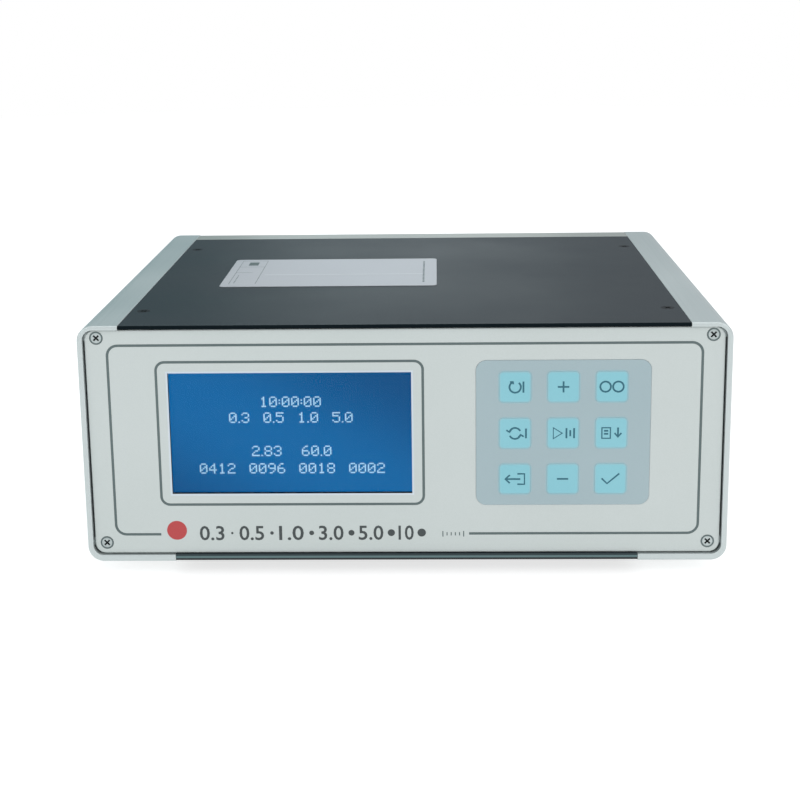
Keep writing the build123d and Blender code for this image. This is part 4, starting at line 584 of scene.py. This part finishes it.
# %% Finish of clear pieces
def clear(name, colour, rough, dust, pebbles, bend=1.3):
    """A clear material: its dust adds to the roughness, and bend is how much it bends light."""
    material = bpy.data.materials.new(name)
    material.use_nodes = True
    tree = material.node_tree
    shader = tree.nodes["Principled BSDF"]
    texture = add(tree, "ShaderNodeGroup", {"Pebbles per metre": pebbles}, node_tree=POWDER)
    feeds = {"Value": texture.outputs["Cloud"], "From Min": 0.3, "From Max": 0.7}
    feeds.update({"To Min": rough, "To Max": rough + dust})
    roughness = add(tree, "ShaderNodeMapRange", feeds).outputs[0]
    tree.links.new(roughness, shader.inputs["Roughness"])
    shader.inputs["Base Color"].default_value = colour
    shader.inputs["Transmission Weight"].default_value = 1.0
    shader.inputs["IOR"].default_value = bend
    return material


window_clear = clear("window clear", (1, 1, 1, 1), 0.0, 0.02, 900.0, bend=1.15)
fuse_glass = clear("fuse glass", chip(236, 240, 240), 0.02, 0.05, 900.0)
tube_silicone = clear("tube silicone", chip(222, 228, 228), 0.3, 0.1, 900.0)
print("finishes so far:", len(bpy.data.materials))

# %% [markdown]
# ## Finishes to pieces
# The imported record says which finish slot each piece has. A table from slot to material dresses
# them all at once, so that a piece can't be forgotten: a slot without a finish stops the script.

# %% Dress every piece
SLOT_FINISH = {
    "rail_paint": rail_metal,
    "cover_paint": cover_paint,
    "panel_silver": panel_paint,
    "rear_silver": rear_metal,
    "screw_steel": screw_steel,
    "screw_black": screw_black,
    "foot_rubber": foot_rubber,
    "label_silver": label_film,
    "line_ink": line_ink,
    "keypad_film": keypad_film,
    "contact_sheet": sheet_film,
    "key_cyan": key_film,
    "window_clear": window_clear,
    "display_metal": fitting_metal,
    "screen_blue": screen_blue,
    "backlight_white": backlight_white,
    "board_green": board_green,
    "ribbon_grey": ribbon_grey,
    "component_black": moulded_black,
    "pillar_brass": brass,
    "inlet_black": moulded_black,
    "blade_nickel": fitting_metal,
    "fuse_glass": fuse_glass,
    "fan_black": moulded_black,
    "serial_steel": fitting_metal,
    "fitting_steel": fitting_metal,
    "tube_clear": tube_silicone,
    "filter_white": moulded_white,
    "bracket_steel": rear_metal,
    "sensor_black": moulded_black,
    "laser_brass": brass,
    "detector_can": fitting_metal,
    "blower_grey": moulded_grey,
    "shaft_steel": fitting_metal,
    "motor_steel": fitting_metal,
}
for entry in frame["record"]["subparts"]:
    dressed = nodes[entry["node"]]
    if not dressed.material_slots:
        dressed.data.materials.append(None)
    for material_slot in dressed.material_slots:
        material_slot.material = SLOT_FINISH[entry["material_slot"]]
for node_name, own_finish in (("front_panel_screws", panel_screw), ("bottom_cover", base_paint)):
    for material_slot in nodes[node_name].material_slots:
        material_slot.material = own_finish
floor_white = powder(
    "floor", chip(176, 176, 176), chip(172, 172, 172), (0.6, 0.7), depth=0.000002, pebbles=400.0
)
floor_shader = floor_white.node_tree.nodes["Principled BSDF"]
floor_shader.inputs["Emission Color"].default_value = (1, 1, 1, 1)
floor_shader.inputs["Emission Strength"].default_value = FLOOR_GLOW
floor.data.materials.append(floor_white)

# %% [markdown]
# ## Tools for print
# Print is a layer of ink a few hundredths of a millimetre thick. It could be painted by the
# material, but then its shape would have to be written as maths. Thin raised pieces are easier to
# read and to place, and they travel with the key they are printed on. A place matrix lays a flat
# drawing, in millimetres, on the front panel or on the top cover.

# %% Print helpers
INK = 0.06


def on_front(x, z, face_y):
    """Places a drawing on an upright face that looks to the front; x and z in metres."""
    turn = Matrix(((1, 0, 0), (0, 0, -1), (0, 1, 0))).to_4x4()
    return Matrix.Translation((x, face_y, z)) @ turn @ Matrix.Scale(MM, 4)


def on_top(x, y, face_z):
    """Places a drawing on a level face; x and y in metres."""
    return Matrix.Translation((x, y, face_z)) @ Matrix.Scale(MM, 4)


def settle(name, curve, place, material, body, flatten=None, fit=None):
    """Turns a curve into a mesh at its place, and lets it ride on its body."""
    drawing = bpy.data.objects.new(name + " drawing", curve)
    bpy.context.scene.collection.objects.link(drawing)
    bpy.context.view_layer.update()
    mesh = bpy.data.meshes.new_from_object(drawing.evaluated_get(bpy.context.evaluated_depsgraph_get()))
    bpy.data.objects.remove(drawing)
    if flatten:
        mesh.transform(Matrix.Diagonal((1, 1, flatten, 1)))
    if fit:
        width, height = fit
        xs = [v.co.x for v in mesh.vertices]
        ys = [v.co.y for v in mesh.vertices]
        middle = Vector(((min(xs) + max(xs)) / 2, (min(ys) + max(ys)) / 2, 0))
        stretch = Matrix.Diagonal((width / (max(xs) - min(xs)), height / (max(ys) - min(ys)), 1, 1))
        mesh.transform(stretch @ Matrix.Translation(-middle))
    mesh.transform(place)
    mesh.materials.clear()
    mesh.materials.append(material)
    piece = bpy.data.objects.new(name, mesh)
    bpy.context.scene.collection.objects.link(piece)
    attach(piece, body)
    return piece


def figures(name, words, size, weight, place, material, body="case"):
    """Plain figures, set to a width and height in millimetres, and made bolder by a weight."""
    curve = bpy.data.curves.new(name, "FONT")
    curve.body = words
    curve.size = size[1]
    curve.offset = weight
    curve.resolution_u = 3
    curve.extrude = INK / 2
    return settle(name, curve, place, material, body, fit=size)


def strokes(name, runs, width, place, material, body="case"):
    """Pen strokes: each run is a list of points in millimetres, closed where it ends as it began."""
    curve = bpy.data.curves.new(name, "CURVE")
    curve.dimensions = "3D"
    curve.bevel_depth = width / 2
    curve.bevel_resolution = 2
    curve.use_fill_caps = True
    for run in runs:
        closed = run[0] == run[-1]
        points = run[:-1] if closed else run
        spline = curve.splines.new("POLY")
        spline.points.add(len(points) - 1)
        for point, (u, v) in zip(spline.points, points):
            point.co = (u, v, 0, 1)
        spline.use_cyclic_u = closed
    return settle(name, curve, place, material, body, flatten=INK / (width / 2))


def shapes(name, outlines, place, material, body="case"):
    """Filled flat shapes: each outline is a closed list of points in millimetres."""
    curve = bpy.data.curves.new(name, "CURVE")
    curve.dimensions = "2D"
    curve.fill_mode = "BOTH"
    curve.extrude = INK / 2
    for outline in outlines:
        spline = curve.splines.new("POLY")
        spline.points.add(len(outline) - 1)
        for point, (u, v) in zip(spline.points, outline):
            point.co = (u, v, 0, 1)
        spline.use_cyclic_u = True
    return settle(name, curve, place, material, body)


def arc(radius, start, end, steps=20, centre=(0, 0)):
    """Points along an arc, from one angle to another in degrees."""
    turns = [math.radians(start + (end - start) * step / steps) for step in range(steps + 1)]
    return [(centre[0] + radius * math.cos(turn), centre[1] + radius * math.sin(turn)) for turn in turns]


def bar(u, v, width, height):
    """The outline of a filled bar about its middle."""
    left, right = u - width / 2, u + width / 2
    low, high = v - height / 2, v + height / 2
    return [(left, low), (right, low), (right, high), (left, high)]


def round_corners(left, right, low, high, corner):
    """Points round a rectangle with round corners, from the middle of its lower side."""
    middle = (left + right) / 2
    points = [(middle, low)]
    points += arc(corner, -90, 0, 8, (right - corner, low + corner))
    points += arc(corner, 0, 90, 8, (right - corner, high - corner))
    points += arc(corner, 90, 180, 8, (left + corner, high - corner))
    points += arc(corner, 180, 270, 8, (left + corner, low + corner))
    return points + [(middle, low)]


# %% [markdown]
# ## Webs round the keys
# A keypad of this kind is one sheet of film, and each key is a blister in it, joined to the sheet
# all round by a thin web. Left open, the joint would show as a dark outline. The web could be
# moulded on the key, but then it would sink into the sheet when the key is pressed. So it belongs
# to the sheet, and the key slides inside it.

# %% Key webs
WEB = 0.45
WEB_CLEARANCE = 0.03
BLISTER_CORNER = 1.8

sheet_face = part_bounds("keypad_overlay")[0].y
webs = []
for key_name in (name for name in nodes if name.startswith("key_")):
    low, high = (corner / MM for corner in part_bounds(key_name))
    for grow in (WEB_CLEARANCE + WEB, WEB_CLEARANCE):
        sides = (low.x - grow, high.x + grow, low.z - grow, high.z + grow)
        webs.append(round_corners(*sides, BLISTER_CORNER + grow)[:-1])
shapes("key_webs", webs, on_front(0, 0, sheet_face), keypad_film)
print("key webs:", len(webs) // 2)

# %% [markdown]
# ## Symbols on the keys
# Each key carries a plain symbol: back to start, plus, zeros, loop, run, print, leave, minus and
# accept. They could all be one printed sheet, but a key moves when it is pressed, and its symbol
# has to go with it. So each symbol is a piece of its own, and rides on its key.

# %% Key symbols
STROKE = 1.05
SYMBOL_SCALE = 1.2
key_symbols = {
    "key_top_left": [
        arc(2.7, -250, 50), [(-0.9, 1.4), (-1.0, 2.6), (-2.4, 2.5)], [(3.9, -2.7), (3.9, 2.7)],
    ],
    "key_top_centre": [[(-2.7, 0), (2.7, 0)], [(0, -2.7), (0, 2.7)]],
    "key_top_right": [arc(2.5, 0, 360, 24, (-3.0, 0)), arc(2.5, 0, 360, 24, (3.0, 0))],
    "key_middle_left": [
        arc(2.7, 25, 165), arc(2.7, 205, 345),
        [(-4.1, 1.6), (-2.6, 0.6), (-1.6, 2.1)], [(4.1, -1.6), (2.6, -0.6), (1.6, -2.1)],
        [(5.2, -2.4), (5.2, 2.4)],
    ],
    "key_middle_centre": [
        [(-4.6, -2.7), (-4.6, 2.7), (-0.4, 0), (-4.6, -2.7)],
        [(1.6, -2.5), (1.6, 2.5)], [(3.4, -1.5), (3.4, 1.5)], [(5.2, -2.5), (5.2, 2.5)],
    ],
    "key_middle_right": [
        [(-4.4, -2.6), (-0.4, -2.6), (-0.4, 2.6), (-4.4, 2.6), (-4.4, -2.6)],
        [(1.6, 0.0), (3.2, -2.0), (4.8, 0.0)], [(3.2, 2.7), (3.2, -1.8)],
        [(-3.4, 1.1), (-1.4, 1.1)], [(-3.4, -0.4), (-1.4, -0.4)],
    ],
    "key_bottom_left": [
        [(1.2, 2.6), (4.6, 2.6), (4.6, -2.6), (1.2, -2.6)], [(2.6, 0), (-4.6, 0)],
        [(-2.4, 2.0), (-4.6, 0), (-2.4, -2.0)],
    ],
    "key_bottom_centre": [[(-2.7, 0), (2.7, 0)]],
    "key_bottom_right": [[(-4.2, 0.2), (-1.6, -2.4), (4.2, 2.6)]],
}
for key_name, runs in key_symbols.items():
    low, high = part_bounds(key_name)
    place = on_front((low.x + high.x) / 2, (low.z + high.z) / 2, low.y)
    runs = [[(u * SYMBOL_SCALE, v * SYMBOL_SCALE) for u, v in run] for run in runs]
    strokes(key_name + "_symbol", runs, STROKE, place, key_ink, key_name + "_body")
print("key symbols:", len(key_symbols))

# %% [markdown]
# ## Figures on the display
# A counter's display shows lines of plain figures: the time, the particle sizes in micrometres,
# the flow and the counts. A font's smooth outlines would look printed, and this glass can only
# light whole dots. So each figure is a little chart, seven rows high, and every 1 in a row becomes
# a square dot. The dots stand a few hundredths of a millimetre in front of the glass.

# %% Display lines
DOT_PITCH = 0.9
DOT_SIZE = 0.82
CHARTS = {
    "0": "01110 10001 10011 10101 11001 10001 01110",
    "1": "00100 01100 00100 00100 00100 00100 01110",
    "2": "01110 10001 00001 00110 01000 10000 11111",
    "3": "01110 10001 00001 00110 00001 10001 01110",
    "4": "00010 00110 01010 10010 11111 00010 00010",
    "5": "11111 10000 11110 00001 00001 10001 01110",
    "6": "00110 01000 10000 11110 10001 10001 01110",
    "8": "01110 10001 10001 01110 10001 10001 01110",
    "9": "01110 10001 10001 01111 00001 00010 01100",
    ".": "0 0 0 0 0 0 1",
    ":": "0 0 1 0 1 0 0",
    " ": "000 000 000 000 000 000 000",
}


def lit_dots(words):
    """The outlines of a line's dots, about its middle."""
    squares = []
    column = 0
    for letter in words:
        chart = CHARTS[letter].split()
        for row, bits in enumerate(chart):
            for step, bit in enumerate(bits):
                if bit == "1":
                    squares.append(((column + step) * DOT_PITCH, (3 - row) * DOT_PITCH))
        column += len(chart[0]) + 1
    middle = (column - 2) * DOT_PITCH / 2
    return [bar(u - middle, v, DOT_SIZE, DOT_SIZE) for u, v in squares]


window_low, window_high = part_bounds("display_window")
screen_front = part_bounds("display_glass")[0].y
display_x = (window_low.x + window_high.x) / 2
display_z = (window_low.z + window_high.z) / 2
display_lines = (
    # figures, and their middle above the display's middle in millimetres
    ("10:00:00", 18.0),
    ("0.3  0.5  1.0  5.0", 8.6),
    ("2.83   60.0", -11.4),
    ("0412  0096  0018  0002", -21.9),
)
for number, (words, rise) in enumerate(display_lines):
    place = on_front(display_x, display_z + rise * MM, screen_front)
    shapes(f"display_line_{number + 1}", lit_dots(words), place, screen_figures)
print("display lines:", len(display_lines))

# %% [markdown]
# ## Lines and edging on the panel
# The two dark lines are inlaid in the panel. Their ink is laid on a little wider than the groove,
# so a flat stroke is drawn over each. The outer line stops at both ends of the scale. A pale strip
# runs round the display window and hides the joint between the glass and the metal.

# %% Panel lines
LINE_WIDTH = 1.5
INLAY_WIDTH = 1.0
BORDER_CORNER = 6.0
BORDER_GAP = (-142.1, 36.7)
DISPLAY_LINE_CORNER = 5.0
DISPLAY_LINE_MARGIN = 5.65
EDGING = 1.05
EDGING_LAP = 0.15

panel_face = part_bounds("border_inlay")[0].y
case_z = case_low.z
border_low, border_high = (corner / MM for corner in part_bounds("border_inlay"))
inset = INLAY_WIDTH / 2
border = round_corners(
    border_low.x + inset, border_high.x - inset,
    border_low.z + inset, border_high.z - inset, BORDER_CORNER,
)[1:-1]
border = [(BORDER_GAP[1], border[0][1])] + border + [(BORDER_GAP[0], border[-1][1])]
glass_low, glass_high = (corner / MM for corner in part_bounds("display_window"))
display_line = round_corners(
    glass_low.x - DISPLAY_LINE_MARGIN, glass_high.x + DISPLAY_LINE_MARGIN,
    glass_low.z - DISPLAY_LINE_MARGIN, glass_high.z + DISPLAY_LINE_MARGIN, DISPLAY_LINE_CORNER,
)
panel_place = on_front(0, 0, panel_face)
strokes("panel_lines", [border, display_line], LINE_WIDTH, panel_place, line_ink)

wide = (glass_high.x - glass_low.x) / 2
tall = (glass_high.z - glass_low.z) / 2
edging = [bar(0, 0, 2 * (wide + lap), 2 * (tall + lap)) for lap in (EDGING_LAP, EDGING_LAP - EDGING)]
edging_place = on_front((glass_low.x + wide) * MM, (glass_low.z + tall) * MM, panel_face)
shapes("display_edging", edging, edging_place, edging_white)
print("panel lines:", len(border) + len(display_line), "points")

# %% [markdown]
# ## Painted shade round the front screws
# A countersunk head is rolled over at its rim, and with the gap round it that shows as a dark
# ring of shade. The gap is a few hundredths of a millimetre, too fine to see as a hole, and the rolled rim
# could be modelled. A thin flat ring of dark ink on the outermost part of the head is painted shade, and
# stands for both.

# %% Painted shade rings on the screws
HEAD_RADIUS = 3.8
RING = 0.85
RING_STEPS = 40

screws_low, screws_high = (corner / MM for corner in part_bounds("front_panel_screws"))
rings = []
for x in (screws_low.x + HEAD_RADIUS, screws_high.x - HEAD_RADIUS):
    for z in (screws_low.z + HEAD_RADIUS, screws_high.z - HEAD_RADIUS):
        for radius in (HEAD_RADIUS, HEAD_RADIUS - RING):
            rings.append(arc(radius, 0, 360, RING_STEPS, (x, z))[:-1])
shapes("screw_rim_shade", rings, panel_place, line_ink)
print("screw rims:", len(rings) // 2)

# %% [markdown]
# ## The scale under the display
# Where the panel's edge line is broken there is room for print. A row of particle sizes, each
# with a dot that grows with it, says what the instrument measures without a single word. The
# round red mark to its left is plain colour.

# %% Panel print
SCALE_SIZES = ("0.3", "0.5", "1.0", "3.0", "5.0", "10")
SCALE_LEFT = -119.6
SCALE_RIGHT = 19.0
SCALE_Z = 16.8
FIGURE_HEIGHT = 8.9
FIGURE_WEIGHT = 0.12
FIGURE_PITCH = 0.62              # a figure's width as a share of its height
POINT_SAVES = 0.4                # a point is narrower than a figure by this share
FIGURE_TO_DOT = 4.6
SMALLEST_DOT = 0.7
DOT_GROWTH = 0.35
TICKS = (21.6, 16.0)             # the first tick, from the panel's middle and the case's underside
RED_MARK = (-132.8, 18.6)        # the middle of the mark, from the same two
RED_MARK_RADIUS = 5.8
TICK_COUNT, TICK_PITCH, TICK_WIDTH, LONG_TICK, SHORT_TICK = 6, 2.4, 0.6, 3.4, 2.0

cell_width = (SCALE_RIGHT - SCALE_LEFT) / len(SCALE_SIZES)
dots = []
for number, words in enumerate(SCALE_SIZES):
    cell_left = SCALE_LEFT + number * cell_width
    width = FIGURE_HEIGHT * FIGURE_PITCH * (len(words) - POINT_SAVES)
    size = (width, FIGURE_HEIGHT)
    place = on_front((cell_left + width / 2) * MM, case_z + SCALE_Z * MM, panel_face)
    figures(f"scale_figure_{number + 1}", words, size, FIGURE_WEIGHT, place, figure_ink)
    dot_radius = SMALLEST_DOT + DOT_GROWTH * number
    dots.append(arc(dot_radius, 0, 360, 28, (cell_left + width + FIGURE_TO_DOT, 0))[:-1])
shapes("scale_dots", dots, on_front(0, case_z + SCALE_Z * MM, panel_face), figure_ink)
heights = [SHORT_TICK if step % (TICK_COUNT - 1) else LONG_TICK for step in range(TICK_COUNT)]
ticks = [bar(step * TICK_PITCH, 0, TICK_WIDTH, height) for step, height in enumerate(heights)]
shapes("scale_ticks", ticks, on_front(TICKS[0] * MM, case_z + TICKS[1] * MM, panel_face), line_ink)
mark_place = on_front(RED_MARK[0] * MM, case_z + RED_MARK[1] * MM, panel_face)
shapes("red_mark", [arc(RED_MARK_RADIUS, 0, 360, 48)[:-1]], mark_place, red_ink)
print("scale:", len(SCALE_SIZES), "figures,", len(dots), "dots and", len(ticks), "ticks")

# %% [markdown]
# ## The label on the cover
# A silver film is stuck on the cover, ruled for entries that nobody has filled in. Only a ruled
# box, a solid block in it and two columns of short dashes are printed, in the same grey as the
# panel. A paler band across the film is a painted highlight, where a crease in it would catch the light.
# All of it could be painted by the film's material, but thin pieces are easier to place.

# %% Label print
RULE_WIDTH = 0.35
DASH_PITCH = 4.4
DASHES_FROM_EDGE = 12
BLOCK = (6.5, 11)
CREASE_HIGHLIGHT_WIDTH = 1.8

label_low, label_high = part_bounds("top_label")
label_middle = (label_low + label_high) / 2
label_place = on_top(label_middle.x, label_middle.y, label_high.z)
half_width = (label_high.x - label_low.x) / 2 / MM
half_depth = (label_high.y - label_low.y) / 2 / MM
box_left = 5 - half_width
box_right = 22 - half_width
box_near = -half_depth + 8
box_far = half_depth - 5
rules = [
    [(box_left, box_near), (box_left, box_far), (box_right, box_far), (box_right, box_near)],
    [(box_left, half_depth - 26), (box_right, half_depth - 26)],
    [(box_left, 0), (box_right - 6, 0)],
]
strokes("label_rules", rules, RULE_WIDTH, label_place, line_ink)
dashes = []
for u, width, length, count in ((half_width - 8.5, 1.2, 2.6, 16), (box_left + 3, 0.7, 2.4, 6)):
    for step in range(count):
        dashes.append(bar(u, -half_depth + DASHES_FROM_EDGE + DASH_PITCH * step, width, length))
dashes.append(bar(box_left + 8.5, half_depth - 15.5, *BLOCK))
shapes("label_dashes", dashes, label_place, line_ink)
# Painted highlight: a paler band across the film, where a crease would catch the light.
crease = [bar(8, -8, 2 * half_width - 34, CREASE_HIGHLIGHT_WIDTH)]
shapes("label_crease_highlight", crease, label_place, crease_highlight_film)
print("label:", len(rules), "rules and", len(dashes), "dashes")
